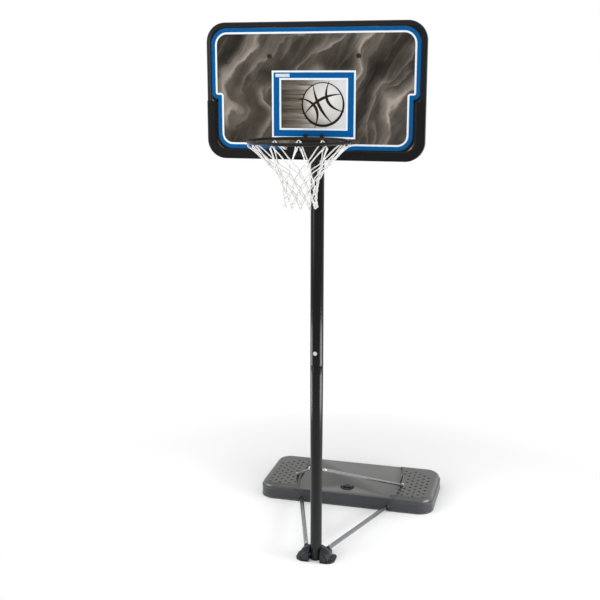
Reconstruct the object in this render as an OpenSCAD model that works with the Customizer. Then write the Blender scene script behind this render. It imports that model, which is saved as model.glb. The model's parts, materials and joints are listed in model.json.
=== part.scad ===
// Portable basketball hoop: telescoping pole on a wheeled foot, stayed by four
// struts to a fillable base tank. The board, rim and net ride on the outer pole
// tube. Origin on the ground under the pole axis, +X to the right of a player
// facing the board, +Y away from the court, +Z up. Millimetres.

/* [Board] */
// Width of the backboard
board_w = 1105; // [1000:5:1200]
// Height of the backboard
board_h = 666; // [620:2:720]
// Outer corner radius of the backboard
board_corner = 95; // [70:5:110]
// Depth of the board from its front face to the back of its frame
board_depth = 30; // [26:1:34]
// Distance of the board's front face ahead of the pole axis
board_reach = 90.9; // [88:0.1:110]
// Width of the frame's border around the panel
frame_border = 28; // [22:1:36]
// Thickness of the clear panel
panel_t = 3; // [2:0.5:5]
// Width of the soft pad on the lower edge
pad_w = 50; // [40:1:60]
// How far the pad stands proud of the board
pad_t = 4; // [3:0.5:8]
// Height of the pad's legs above the board's lower edge
pad_leg = 286; // [200:2:340]
// Half the distance between the two upper board bolts
board_bolt_x = 223.6; // [180:0.2:240]
// Distance of the upper board bolts below the board's top edge
board_bolt_drop = 163.8; // [140:0.2:190]

/* [Rim] */
// Inside diameter of the ring
ring_id = 457; // [440:1:470]
// Diameter of the ring's steel rod
ring_rod = 16; // [14:1:20]
// Height of the ring's centreline at the lowest setting
ring_z = 2312; // [2290:1:2330]
// Gap between the board's face and the inside of the ring
ring_gap = 51; // [45:1:60]
// Number of net hooks
hook_count = 12; // [8:1:16]
// Thickness of the rim's plates
plate_t = 4; // [3:0.5:6]

/* [Net] */
// Length of the net below the hooks
net_length = 294; // [240:2:340]
// Thickness of the plain shell that holds the net's place
net_shell = 1.5; // [1:0.5:4]

/* [Pole] */
// Outside diameter of the upper tube
upper_d = 70; // [70:0.5:76]
// Wall of the upper tube
upper_wall = 2; // [1.5:0.1:2]
// Outside diameter of the lower and middle tubes
lower_d = 63.5; // [62:0.1:63.8]
// Wall of the lower and middle tubes
lower_wall = 1.8; // [1.5:0.1:2.5]
// Height of the upper tube's lower end at the lowest setting
upper_z0 = 1120; // [1100:1:1140]
// Height of the upper tube's top at the lowest setting
upper_z1 = 2760; // [2740:1:2800]
// Travel of the board from the lowest to the highest setting
travel = 762; // [600:1:762]

/* [Base tank] */
// Length of the tank, side to side
tank_w = 1100; // [1000:5:1200]
// Depth of the tank, front to back
tank_d = 518; // [460:2:560]
// Distance of the tank's front face behind the pole axis
tank_y0 = 697; // [680:1:720]
// Height of the tank's raised ends
tank_h = 98; // [94:1:110]
// Height of the tank's middle deck
deck_h = 86; // [80:1:90]
// Half-length of the middle deck
deck_x = 300; // [280:2:310]
// Plan corner radius of the tank
tank_corner = 95; // [80:5:110]
// Wall of the blow-moulded tank
tank_wall = 4; // [3:0.5:5]

/* [Foot] */
// Half-length of the wheel carriage over its skirt
foot_x = 110; // [108:1:114]
// Diameter of each wheel
wheel_d = 54; // [50:1:54]
// Width of each wheel
wheel_w = 20; // [16:1:20]

/* [Hidden] */
$fn = 64;
eps = 0.5;

// fasteners: M8 everywhere, clearance holes
bolt_r = 4;
hole_r = 4.2;
nut_r = 7.5;
nut_t = 6.5;
head_r = 8.5;
head_t = 5;

// tubes
upper_r = upper_d / 2;
bore_r = upper_r - upper_wall;
lower_r = lower_d / 2;
lower_bore_r = lower_r - lower_wall;
slide_gap = 0.1;                       // running clearance of the guide bushes
joint_z = upper_z0 + 30;               // where the lower and middle tubes meet
plug_z = joint_z - 90;                 // lower end of the middle tube's swaged plug
height_z = upper_z0 + 70;              // height bolt at the lowest setting
middle_z1 = height_z + travel + 128;   // top of the middle tube
slot_r = bolt_r + 0.5;                 // half width of the middle tube's slot
pole_z0 = 4;                           // the lower tube stands on its end plug

// board
face_y = -board_reach;                 // front face of the board
back_y = face_y + board_depth;         // back of the board's frame
board_z = ring_z + 557.7 - board_h / 2;
board_z0 = board_z - board_h / 2;
board_z1 = board_z + board_h / 2;
pad_top = board_z0 + pad_leg;
pad_wall = 6;                          // the pad's outer wall, let into the frame's edge
skin_t = 2.5;                          // the frame's moulded skin behind the panel
skin_y = face_y + panel_t;
frame_wall = 8;
rib_depth = 16;
cross_z = board_z1 - board_bolt_drop;
cross_w = 2 * board_bolt_x + 34;
cross_h = 40;
clamp_rod = 4;
clamp_x = upper_r + clamp_rod + 0.5;

// rim
ring_r = ring_id / 2 + ring_rod / 2;   // centreline radius
ring_y = face_y - ring_gap - ring_id / 2 + 0.2;
rim_bolt_x = 42;
rim_bolt_z = [ring_z - 48, ring_z + 12];
bracket_z = ring_z - 22;               // bolt of the board bracket through the pole
bracket_half = upper_r + 0.2;          // inside half width of the board bracket
hook_bend = 7;
hook_rod = 2;
net_top = ring_z - ring_rod / 2 + 1 - hook_bend - hook_rod - 0.5;

// tank
tank_y1 = tank_y0 + tank_d;
shoulder = 30;                         // rounding of the raised ends' top edges
cap_xy = [3, 800];
cap_r = 36;
neck_r = 25;
recess_r = 43;
recess_depth = 12;
water_z = deck_h - tank_wall - 3;
base_bolt = [343.6, 887.8];
column_r = 15;

// foot
axle_y = -11;
axle_z = wheel_d / 2 + 1;
axle_r = 5;
wheel_x = 52;                          // middle of each wheel
well_gap = 2.5;
dome_y = -8;
foot_y0 = -56;
foot_y1 = 60;
skirt_t = 8;
notch_r = lower_r + 0.25;

// struts
lower_strut_r = 12.5;
strut_a = [62, 25, 55];                // axis of a lower strut just behind the foot
strut_b = [268.2, 697, 25];            // axis of a lower strut at the tank's front face
strut_dir = (strut_b - strut_a) / norm(strut_b - strut_a);
strut_in = strut_a + strut_dir * 2;
strut_out = strut_b + strut_dir * 150;  // where the tube ends under the tank
tab_z = 14;                            // underside of the crimped end below the tank
tab_t = 5;
sleeve_r = 15.5;
tunnel_r = 16;
upper_strut_r = 8;
strut_z = 531;                         // bolt through the pole that holds the upper struts
eye_t = 4;
strut_top = [lower_r + 6, 42, strut_z - 20];
strut_foot = [base_bolt[0] - 6, base_bolt[1] - 18, tank_h + upper_strut_r + 0.3];

// ---- shared shapes --------------------------------------------------------

// Solid rectangle with round corners, centred
module round_rect(w, h, r) {
    square([w - 2 * r, h], center = true);
    square([w, h - 2 * r], center = true);
    for (x = [-1, 1], y = [-1, 1])
        translate([x * (w / 2 - r), y * (h / 2 - r)]) circle(r);
}

// Upright slab from y to y + t, drawn in X and Z about height z
module upright(y, t, z) {
    translate([0, y + t, z]) rotate([90, 0, 0]) linear_extrude(t) children();
}

// Children that run along +Z are turned to run from p to q
module from_to(p, q) {
    v = q - p;
    translate(p) rotate([0, acos(v[2] / norm(v)), atan2(v[1], v[0])]) children();
}

module rod(p, q, r) {
    from_to(p, q) cylinder(h = norm(q - p), r = r);
}

module tube(p, q, r, wall) {
    from_to(p, q) difference() {
        cylinder(h = norm(q - p), r = r);
        translate([0, 0, -eps]) cylinder(h = norm(q - p) + 2 * eps, r = r - wall);
    }
}

// Bolt whose head sits on the point p and whose shank runs back along dir
module bolt(p, dir, length, head = head_r) {
    rod(p, p + dir * length, bolt_r);
    from_to(p, p - dir) cylinder(h = head_t, r = head);
}

// Hexagonal nut whose seat is at p, with the bolt leaving along dir
module nut(p, dir) {
    from_to(p, p + dir) difference() {
        cylinder(h = nut_t, r = nut_r, $fn = 6);
        translate([0, 0, -eps]) cylinder(h = nut_t + 2 * eps, r = bolt_r);
    }
}

// Flat strip from p to a round eye about q, in its own plane
module strip(p, q, r, eye) {
    translate(q) circle(eye);
    translate(p) rotate([0, 0, atan2(q[1] - p[1], q[0] - p[0])]) translate([0, -r]) square([norm(q - p), 2 * r]);
}

// Tube with closed ends, from p to q
module closed_tube(p, q, r, wall) {
    along = (q - p) / norm(q - p);
    difference() {
        rod(p, q, r);
        rod(p + along * 20, q - along * 20, r - wall);
    }
}

module both_sides() {
    children();
    mirror([1, 0, 0]) children();
}

module ring_place(i) {
    a = 360 * (i + 0.5) / hook_count;
    translate([ring_r * cos(a), ring_y + ring_r * sin(a), 0]) rotate([0, 0, a + 90]) children();
}

// ---- base tank ------------------------------------------------------------

// A raised end of the tank with rounded top edges, drawn in by inset
module tank_end(inset) {
    r = tank_corner - inset;
    x0 = deck_x - 40;
    x1 = tank_w / 2 - inset;
    hull() for (y = [tank_y0 + inset + r, tank_y1 - inset - r])
        for (x = [x0, x1 - r])
            translate([x, y, inset]) rotate_extrude($fn = 32) {
                square([r, tank_h - shoulder - 2 * inset]);
                translate([r - shoulder, tank_h - shoulder - 2 * inset]) intersection() {
                    circle(shoulder, $fn = 32);
                    square(shoulder);
                }
                square([r - shoulder, tank_h - 2 * inset]);
            }
}

module tank_body(inset) {
    both_sides() tank_end(inset);
    translate([-deck_x, tank_y0 + inset, inset]) cube([2 * deck_x, tank_d - 2 * inset, deck_h - 2 * inset]);
}

module strut_tunnel(r) {
    length = 232 + r - tunnel_r;
    from_to(strut_b - strut_dir * 20, strut_out + strut_dir * 20) cylinder(h = length, r = r);
    p = strut_b - strut_dir * 20;
    a = atan2(strut_dir[1], strut_dir[0]);
    translate([p[0], p[1], -eps]) rotate([0, 0, a]) translate([0, -r, 0]) cube([length, 2 * r, strut_out[2] + eps]);
    // pocket round the bolt
    translate([base_bolt[0], base_bolt[1], -eps]) cylinder(h = tab_z + tab_t + 8 + r - tunnel_r, r = 44 + r - tunnel_r);
}

module base_bolt_place() {
    for (x = [-1, 1]) translate([x * base_bolt[0], base_bolt[1], 0]) children();
}

module neck_place() {
    translate([cap_xy[0], cap_xy[1], deck_h - recess_depth]) children();
}

module base_tank() {
    color([0.33, 0.34, 0.35]) difference() {
        union() {
            difference() {
                tank_body(0);
                tank_body(tank_wall);
            }
            both_sides() intersection() {
                strut_tunnel(tunnel_r + tank_wall);
                tank_body(0);
            }
            base_bolt_place() cylinder(h = tank_h, r = column_r);
            neck_place() translate([0, 0, -tank_wall]) cylinder(h = recess_depth + tank_wall, r = recess_r + tank_wall);
            neck_place() translate([0, 0, -22]) cylinder(h = 22, r = neck_r + tank_wall);
        }
        both_sides() strut_tunnel(tunnel_r);
        base_bolt_place() translate([0, 0, -eps]) cylinder(h = tank_h + 2 * eps, r = hole_r);
        neck_place() cylinder(h = recess_depth + eps, r = recess_r);
        neck_place() translate([0, 0, -22 - eps]) cylinder(h = 23, r = neck_r);
    }
}

// Water that fills the tank to just below its deck
module ballast() {
    color([0.45, 0.6, 0.7]) difference() {
        intersection() {
            tank_body(tank_wall + 0.2);
            translate([-tank_w / 2, tank_y0, 0]) cube([tank_w, tank_d, water_z]);
        }
        both_sides() strut_tunnel(tunnel_r + tank_wall + 0.2);
        base_bolt_place() cylinder(h = tank_h, r = column_r + 0.2);
        neck_place() translate([0, 0, -23]) cylinder(h = 60, r = recess_r + tank_wall + 0.2);
    }
}

module fill_cap() {
    color([0.2, 0.2, 0.21]) neck_place() {
        difference() {
            translate([0, 0, 2.5]) cylinder(h = 8, r = cap_r);
            for (a = [0 : 30 : 330]) rotate([0, 0, a]) translate([cap_r + 1, 0, 1]) cylinder(h = 12, r = 3);
        }
        translate([-cap_r + 8, -3, 8]) cube([2 * cap_r - 16, 6, 7]);
        difference() {
            translate([0, 0, -18]) cylinder(h = 22, r = neck_r - 0.5);
            translate([0, 0, -18 - eps]) cylinder(h = 18, r = neck_r - 3.5);
        }
    }
}

module cap_seal() {
    color([0.08, 0.08, 0.08]) neck_place() difference() {
        translate([0, 0, 0.3]) cylinder(h = 2.2, r = neck_r + 4);
        translate([0, 0, -eps]) cylinder(h = 4, r = neck_r - 0.5);
    }
}

// ---- wheeled foot ---------------------------------------------------------

// One wheel cover: a dome that steps down from the pole to its outer end
module wing() {
    stations = [[30, 42, 33], [60, 35, 31], [80, 26, 22], [90, 16, 12]];
    hull() {
        for (s = stations) translate([s[0], dome_y, s[2]]) rotate([0, 90, 0]) cylinder(h = 3, r = s[1], $fn = 32);
        translate([30, dome_y - 40, 0]) cube([61, 78, skirt_t]);
    }
    translate([34, 10, 0]) cube([48, 46, strut_a[2] - 3]);
}

module carriage_floor() {
    linear_extrude(skirt_t) translate([0, (foot_y0 + foot_y1) / 2]) round_rect(2 * foot_x, foot_y1 - foot_y0, 24);
}

module wheel_well() {
    half = wheel_w / 2 + 2;
    r = wheel_d / 2 + well_gap;
    translate([wheel_x - half, axle_y, axle_z]) rotate([0, 90, 0]) cylinder(h = 2 * half, r = r);
    translate([wheel_x - half, axle_y - r, -eps]) cube([2 * half, 2 * r, axle_z + eps]);
    translate([wheel_x - half, foot_y0 - eps, -eps]) cube([2 * half, 30, 12]);
}

module wheel_carriage() {
    color([0.3, 0.31, 0.33]) difference() {
        intersection() {
            union() {
                carriage_floor();
                both_sides() wing();
                translate([-38, 0, 0]) cube([76, 44, 66]);
            }
            translate([-foot_x - eps, foot_y0 - eps, 0]) cube([2 * foot_x + 2 * eps, foot_y1 - foot_y0 + 2 * eps, 90]);
        }
        // the pole stands in a notch that is open to the front
        translate([0, 0, -eps]) cylinder(h = 100, r = notch_r);
        translate([-notch_r, foot_y0 - eps, -eps]) cube([2 * notch_r, -foot_y0 + eps, 100]);
        both_sides() wheel_well();
        // the floor rises towards its front edge, so the wheels carry a tilted hoop
        translate([-foot_x - eps, -16, 0]) rotate([-10, 0, 0]) translate([0, -60, -20]) cube([2 * foot_x + 2 * eps, 60, 20]);
        translate([-foot_x, axle_y, axle_z]) rotate([0, 90, 0]) cylinder(h = 2 * foot_x, r = axle_r + 0.1);
        both_sides() translate([76, axle_y, axle_z]) rotate([0, 90, 0]) cylinder(h = 40, r = 9);
        both_sides() rod(strut_in - strut_dir * 3, strut_in + strut_dir * 80, lower_strut_r + 0.1);
        both_sides() translate([foot_bolt()[0], foot_bolt()[1], 20]) cylinder(h = 60, r = 3.2);
        both_sides() translate([foot_bolt()[0], foot_bolt()[1], -eps]) cylinder(h = 22, r = 7);
    }
}

function foot_bolt() = strut_a + strut_dir * 17;

module foot_bolts() {
    color("silver") both_sides() translate([foot_bolt()[0], foot_bolt()[1], 0]) {
        translate([0, 0, 14]) cylinder(h = 56, r = 3);
        translate([0, 0, foot_bolt()[2] + lower_strut_r + 0.4]) cylinder(h = 4, r = 6);
        translate([0, 0, 15]) cylinder(h = 5, r = 5.8, $fn = 6);
    }
}

// Moulded wheel with five pockets in its outer face
module wheel() {
    rotate([0, 90, 0]) difference() {
        rotate_extrude() translate([axle_r + 0.1, -wheel_w / 2]) union() {
            square([9, wheel_w]);
            translate([0, 3]) square([wheel_d / 2 - axle_r - 2, wheel_w - 6]);
            translate([wheel_d / 2 - axle_r - 6.1, 2]) square([4, wheel_w - 4]);
            translate([wheel_d / 2 - axle_r - 6.1, 5]) square([6, wheel_w - 10]);
        }
        for (a = [0 : 72 : 288]) rotate([0, 0, a]) translate([wheel_d / 3.4, 0, wheel_w / 2 - 7]) cylinder(h = 10, r = 3);
    }
}

module wheel_left() {
    color([0.1, 0.1, 0.1]) mirror([1, 0, 0]) translate([wheel_x, axle_y, axle_z]) wheel();
}

module wheel_right() {
    color([0.1, 0.1, 0.1]) translate([wheel_x, axle_y, axle_z]) wheel();
}

module wheel_axle() {
    color("silver") rod([-82, axle_y, axle_z], [82, axle_y, axle_z], axle_r);
}

module axle_caps() {
    color([0.15, 0.15, 0.15]) both_sides() translate([76.2, axle_y, axle_z]) rotate([0, 90, 0]) difference() {
        cylinder(h = 8, r = 8.5);
        translate([0, 0, -eps]) cylinder(h = 6.5, r = axle_r);
    }
}

// ---- pole -----------------------------------------------------------------

module pole_foot() {
    color([0.1, 0.1, 0.1]) {
        cylinder(h = pole_z0, r = lower_r);
        cylinder(h = 18, r = lower_bore_r);
    }
}

module lower_pole() {
    color([0.2, 0.2, 0.21]) difference() {
        tube([0, 0, pole_z0], [0, 0, joint_z], lower_r, lower_wall);
        translate([-50, axle_y, axle_z]) rotate([0, 90, 0]) cylinder(h = 100, r = axle_r + 0.1);
        translate([-50, 0, strut_z]) rotate([0, 90, 0]) cylinder(h = 100, r = hole_r);
    }
}

module middle_pole() {
    color([0.2, 0.2, 0.21]) difference() {
        union() {
            tube([0, 0, joint_z], [0, 0, middle_z1], lower_r, lower_wall);
            tube([0, 0, plug_z], [0, 0, joint_z], lower_bore_r, lower_wall);
            // step of the swage
            translate([0, 0, joint_z]) difference() {
                cylinder(h = 3, r = lower_r);
                translate([0, 0, -eps]) cylinder(h = 4, r = lower_bore_r - lower_wall);
            }
        }
        upright(-50, 100, height_z + travel / 2) round_rect(2 * slot_r, travel + 2 * slot_r, slot_r - 0.01);
    }
}

// Bush fixed on the middle tube; the upper tube slides on it
module guide_bush_top() {
    color([0.9, 0.9, 0.88]) difference() {
        union() {
            translate([0, 0, middle_z1 - 60]) cylinder(h = 60, r = bore_r - slide_gap);
            translate([0, 0, middle_z1]) cylinder(h = 3, r = bore_r - 1);
        }
        translate([0, 0, middle_z1 - 61]) cylinder(h = 61, r = lower_r);
        translate([0, 0, middle_z1 - 1]) cylinder(h = 10, r = 20);
    }
}

module upper_pole() {
    color([0.06, 0.06, 0.06]) difference() {
        tube([0, 0, upper_z0], [0, 0, upper_z1], upper_r, upper_wall);
        translate([0, 50, height_z]) rotate([90, 0, 0]) cylinder(h = 100, r = hole_r);
        translate([-50, 0, bracket_z]) rotate([0, 90, 0]) cylinder(h = 100, r = hole_r);
    }
}

module pole_cap() {
    color([0.06, 0.06, 0.06]) {
        translate([0, 0, upper_z1]) cylinder(h = 4, r1 = upper_r, r2 = upper_r - 2);
        translate([0, 0, upper_z1 - 16]) cylinder(h = 17, r = bore_r);
    }
}

// Bush fixed in the upper tube's lower end; it slides on the inner tubes
module guide_bush_bottom() {
    color([0.12, 0.12, 0.12]) difference() {
        union() {
            translate([0, 0, upper_z0 - 4]) cylinder(h = 4, r = upper_r);
            translate([0, 0, upper_z0]) cylinder(h = 44, r = bore_r);
        }
        translate([0, 0, upper_z0 - 5]) cylinder(h = 50, r = lower_r + slide_gap);
    }
}

module height_bolt() {
    color("silver") bolt([0, -upper_r, height_z], [0, 1, 0], 2 * upper_r + 16, 11);
}

module height_knob() {
    color([0.08, 0.08, 0.08]) translate([0, upper_r, height_z]) rotate([-90, 0, 0]) difference() {
        union() {
            cylinder(h = 12, r = 11);
            for (a = [0 : 120 : 240]) rotate([0, 0, a]) translate([9, 0, 0]) cylinder(h = 10, r = 9);
        }
        translate([0, 0, -eps]) cylinder(h = 14, r = bolt_r);
    }
}

// ---- struts ---------------------------------------------------------------

module lower_strut() {
    bolt_xy = [base_bolt[0], base_bolt[1]];
    color([0.7, 0.7, 0.7]) difference() {
        union() {
            closed_tube(strut_in, strut_out, lower_strut_r, 1.5);
            // flattened end, bolted under the tank
            translate([0, 0, tab_z]) linear_extrude(tab_t)
                strip([strut_out[0] - 3, strut_out[1] - 10], bolt_xy, 10, 13);
        }
        translate([base_bolt[0], base_bolt[1], 0]) cylinder(h = 40, r = hole_r);
        translate([foot_bolt()[0], foot_bolt()[1], 20]) cylinder(h = 60, r = 3.2);
        // drain hole low in the tube
        translate(strut_b + strut_dir * 60 - [0, 0, 20]) cylinder(h = 20, r = 2);
    }
}

module lower_strut_left() {
    mirror([1, 0, 0]) lower_strut();
}

module lower_strut_right() {
    lower_strut();
}

// Black end sleeves where the lower struts enter the tank
module strut_sleeves() {
    color([0.05, 0.05, 0.05]) both_sides()
        tube(strut_b - strut_dir * 12, strut_b + strut_dir * 40, sleeve_r, sleeve_r - lower_strut_r);
}

module upper_strut() {
    bolt_xy = [base_bolt[0], base_bolt[1]];
    color([0.75, 0.75, 0.76]) difference() {
        union() {
            closed_tube(strut_top, strut_foot, upper_strut_r, 1.2);
            // flattened eye beside the pole
            translate([lower_r + 0.2, 0, 0]) rotate([90, 0, 90]) linear_extrude(eye_t)
                strip([strut_top[1] + 9, strut_top[2] - 4], [0, strut_z], 9, 10);
            // flattened eye on the tank
            translate([0, 0, tank_h]) linear_extrude(eye_t)
                strip(bolt_xy - [12, 34], bolt_xy, 9, 11);
        }
        translate([0, 0, strut_z]) rotate([0, 90, 0]) cylinder(h = 60, r = hole_r);
        translate([base_bolt[0], base_bolt[1], tank_h - 5]) cylinder(h = 20, r = hole_r);
        // drain hole low in the tube
        translate(strut_foot + (strut_top - strut_foot) * 0.05 - [0, 0, 14]) cylinder(h = 14, r = 2);
    }
}

module upper_strut_left() {
    mirror([1, 0, 0]) upper_strut();
}

module upper_strut_right() {
    upper_strut();
}

module pole_strut_bolt() {
    reach = lower_r + 0.2 + eye_t;
    color("silver") {
        bolt([-reach, 0, strut_z], [1, 0, 0], 2 * reach + nut_t + 3);
        nut([reach, 0, strut_z], [1, 0, 0]);
    }
}

module base_bolts() {
    color("silver") base_bolt_place() {
        translate([0, 0, tab_z - head_t]) cylinder(h = tank_h + eye_t + nut_t + 3 - tab_z + head_t, r = bolt_r);
        translate([0, 0, tab_z - head_t]) cylinder(h = head_t, r = head_r);
    }
}

module base_nuts() {
    color("silver") base_bolt_place() nut([0, 0, tank_h + eye_t], [0, 0, 1]);
}

// ---- backboard ------------------------------------------------------------

module board_outline(inset) {
    round_rect(board_w - 2 * inset, board_h - 2 * inset, board_corner - inset);
}

// Half plane below the top of the pad's legs, in board coordinates
module below_pad_top() {
    translate([-board_w, -board_h]) square([2 * board_w, board_h + pad_top - board_z]);
}

// The frame's outline gives way to the pad along its lower edge
module frame_outline() {
    board_outline(pad_wall);
    difference() {
        board_outline(0);
        below_pad_top();
    }
}

module rim_bolt_holes(r) {
    for (x = [-rim_bolt_x, rim_bolt_x], z = rim_bolt_z)
        translate([x, face_y - 50, z]) rotate([-90, 0, 0]) cylinder(h = 200, r = r);
}

module board_bolt_holes(r) {
    for (x = [-board_bolt_x, board_bolt_x])
        translate([x, face_y - 50, cross_z]) rotate([-90, 0, 0]) cylinder(h = 200, r = r);
}

module board_frame() {
    boss_y = skin_y + skin_t - eps;
    boss_t = back_y - boss_y;
    color([0.1, 0.1, 0.1]) difference() {
        union() {
            // border around the panel
            upright(face_y, panel_t + eps, board_z) difference() {
                frame_outline();
                board_outline(frame_border);
            }
            upright(skin_y, skin_t, board_z) frame_outline();
            upright(skin_y, back_y - skin_y, board_z) difference() {
                frame_outline();
                board_outline(pad_wall + frame_wall);
            }
            // stiffening ribs across the back
            upright(skin_y, skin_t + rib_depth, board_z) intersection() {
                board_outline(pad_wall + 1);
                union() {
                    for (x = [-3 : 3]) translate([x * 150 - 1.5, -board_h / 2]) square([3, board_h]);
                    for (z = [-2 : 2]) translate([-board_w / 2, z * 118 - 1.5]) square([board_w, 3]);
                }
            }
            // bosses and pads that the brackets bolt against
            for (x = [-board_bolt_x, board_bolt_x])
                translate([x, boss_y, cross_z]) rotate([-90, 0, 0]) cylinder(h = boss_t, r = 16);
            upright(boss_y, boss_t, (rim_bolt_z[0] + rim_bolt_z[1]) / 2) round_rect(112, 92, 10);
        }
        rim_bolt_holes(hole_r);
        board_bolt_holes(hole_r);
    }
}

module board_panel() {
    color([0.35, 0.32, 0.28]) difference() {
        upright(face_y, panel_t, board_z) board_outline(frame_border);
        rim_bolt_holes(hole_r);
        board_bolt_holes(hole_r);
    }
}

// Soft U along the lower edge: a front lip and an outer wall in one piece
module edge_pad() {
    color([0.16, 0.16, 0.17]) {
        upright(face_y - pad_t, pad_t, board_z) difference() {
            intersection() {
                difference() {
                    board_outline(0);
                    board_outline(pad_w);
                }
                below_pad_top();
            }
            // gap for the rim's bracket
            translate([-100, -board_h / 2 + pad_wall]) square([200, pad_w]);
        }
        upright(face_y - eps, board_depth + eps, board_z) intersection() {
            difference() {
                board_outline(0);
                board_outline(pad_wall);
            }
            below_pad_top();
        }
    }
}

module board_crossbar() {
    color([0.08, 0.08, 0.08]) difference() {
        union() {
            upright(back_y, 3, cross_z) square([cross_w, cross_h], center = true);
            for (z = [-cross_h / 2, cross_h / 2 - 3])
                translate([-cross_w / 2, back_y, cross_z + z]) cube([cross_w, -back_y - upper_r - 0.2, 3]);
        }
        board_bolt_holes(hole_r);
        for (x = [-clamp_x, clamp_x])
            translate([x, back_y - 5, cross_z]) rotate([-90, 0, 0]) cylinder(h = 12, r = clamp_rod + 0.3);
    }
}

module crossbar_bolts() {
    color([0.1, 0.1, 0.1]) for (x = [-board_bolt_x, board_bolt_x])
        bolt([x, face_y, cross_z], [0, 1, 0], board_depth + 3 + nut_t + 3, 11);
}

module crossbar_nuts() {
    color("silver") for (x = [-board_bolt_x, board_bolt_x]) nut([x, back_y + 3, cross_z], [0, 1, 0]);
}

// U-bolt round the back of the pole, its legs through the crossbar
module pole_clamp() {
    color("silver") translate([0, 0, cross_z]) {
        rotate_extrude(angle = 180) translate([clamp_x, 0]) circle(clamp_rod, $fn = 32);
        for (x = [-clamp_x, clamp_x]) rod([x, back_y - nut_t - 4, 0], [x, 0.01, 0], clamp_rod);
    }
}

module clamp_nuts() {
    color("silver") for (x = [-clamp_x, clamp_x]) nut([x, back_y, cross_z], [0, -1, 0]);
}

// Steel channel behind the board, bolted through the pole
module board_bracket() {
    mid_z = (rim_bolt_z[0] + rim_bolt_z[1]) / 2;
    color([0.08, 0.08, 0.08]) difference() {
        union() {
            upright(back_y, plate_t, mid_z) round_rect(112, 92, 6);
            both_sides() translate([bracket_half, back_y, bracket_z - 16]) cube([plate_t, 18 - back_y, 32]);
        }
        rim_bolt_holes(hole_r);
        translate([-60, 0, bracket_z]) rotate([0, 90, 0]) cylinder(h = 120, r = hole_r);
    }
}

module bracket_bolt() {
    reach = bracket_half + plate_t;
    color("silver") bolt([-reach, 0, bracket_z], [1, 0, 0], 2 * reach + nut_t + 3);
}

module bracket_nut() {
    color("silver") nut([bracket_half + plate_t, 0, bracket_z], [1, 0, 0]);
}

// ---- rim and net ----------------------------------------------------------

// Folded plate: an upright back with two ears and a shelf that carries the ring
module rim_bracket() {
    shelf_z = ring_z - ring_rod / 2 - plate_t;
    back_half = 60;
    shelf_half = 87;
    shelf_y = ring_y + ring_r - 3.5;
    color([0.07, 0.07, 0.07]) difference() {
        union() {
            upright(face_y - plate_t, plate_t, board_z) {
                translate([-back_half, ring_z - 62 - board_z]) square([2 * back_half, 62]);
                for (x = [-rim_bolt_x, rim_bolt_x]) translate([x, rim_bolt_z[1] - board_z]) {
                    circle(9);
                    translate([-9, -14]) square([18, 14]);
                }
            }
            translate([0, 0, shelf_z]) linear_extrude(plate_t) polygon([
                [-back_half, face_y], [back_half, face_y], [shelf_half, face_y - 24],
                [shelf_half, shelf_y + 12], [shelf_half - 12, shelf_y], [12 - shelf_half, shelf_y],
                [-shelf_half, shelf_y + 12], [-shelf_half, face_y - 24]]);
        }
        rim_bolt_holes(hole_r);
    }
}

// Tapered trough below the shelf, from the ring down past the board's lower edge
module rim_brace() {
    top_z = ring_z - ring_rod / 2 - plate_t;
    back = face_y - plate_t;
    end_r = 34;
    end_z = board_z0 + 12;
    color([0.07, 0.07, 0.07]) difference() {
        hull() {
            translate([-46, back - 34, top_z - 3]) cube([92, 34, 3]);
            translate([0, back, end_z]) rotate([90, 0, 0]) cylinder(h = 8, r = end_r);
        }
        hull() {
            translate([-43, back - 31, top_z + 1]) cube([86, 48, 3]);
            translate([0, back + 20, end_z]) rotate([90, 0, 0]) cylinder(h = 25, r = end_r - 3);
        }
        // clearance for the heads of the lower rim bolts
        for (x = [-rim_bolt_x, rim_bolt_x])
            translate([x, face_y - plate_t - 12, rim_bolt_z[0]]) rotate([-90, 0, 0]) cylinder(h = 20, r = 12);
    }
}

module rim_ring() {
    color([0.12, 0.11, 0.1]) translate([0, ring_y, ring_z])
        rotate_extrude($fn = 128) translate([ring_r, 0]) circle(ring_rod / 2, $fn = 32);
}

module rim_bolts() {
    color([0.1, 0.1, 0.1]) for (x = [-rim_bolt_x, rim_bolt_x], z = rim_bolt_z)
        bolt([x, face_y - plate_t, z], [0, 1, 0], board_depth + 2 * plate_t + nut_t + 2);
}

module rim_nuts() {
    color("silver") for (x = [-rim_bolt_x, rim_bolt_x], z = rim_bolt_z) nut([x, back_y + plate_t, z], [0, 1, 0]);
}

// Small U hooks welded under the ring
module net_hooks() {
    color([0.12, 0.11, 0.1]) for (i = [0 : hook_count - 1]) ring_place(i)
        translate([0, 0, ring_z - ring_rod / 2 + 1]) rotate([-90, 0, 0])
            rotate_extrude(angle = 180) translate([hook_bend, 0]) circle(hook_rod, $fn = 32);
}

// Outer radius of the hanging net at a share t of its length
function net_r(t) = 80 + 158 * pow(1 - t, 2.2) - 10 * sin(180 * t);

// Plain shell in the space that the knotted net takes up
module net() {
    steps = 16;
    outer = [for (i = [0 : steps]) [net_r(i / steps), -net_length * i / steps]];
    inner = [for (i = [steps : -1 : 0]) [net_r(i / steps) - net_shell, -net_length * i / steps]];
    color([0.95, 0.95, 0.95]) translate([0, ring_y, net_top]) rotate_extrude() polygon(concat(outer, inner));
}

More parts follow.
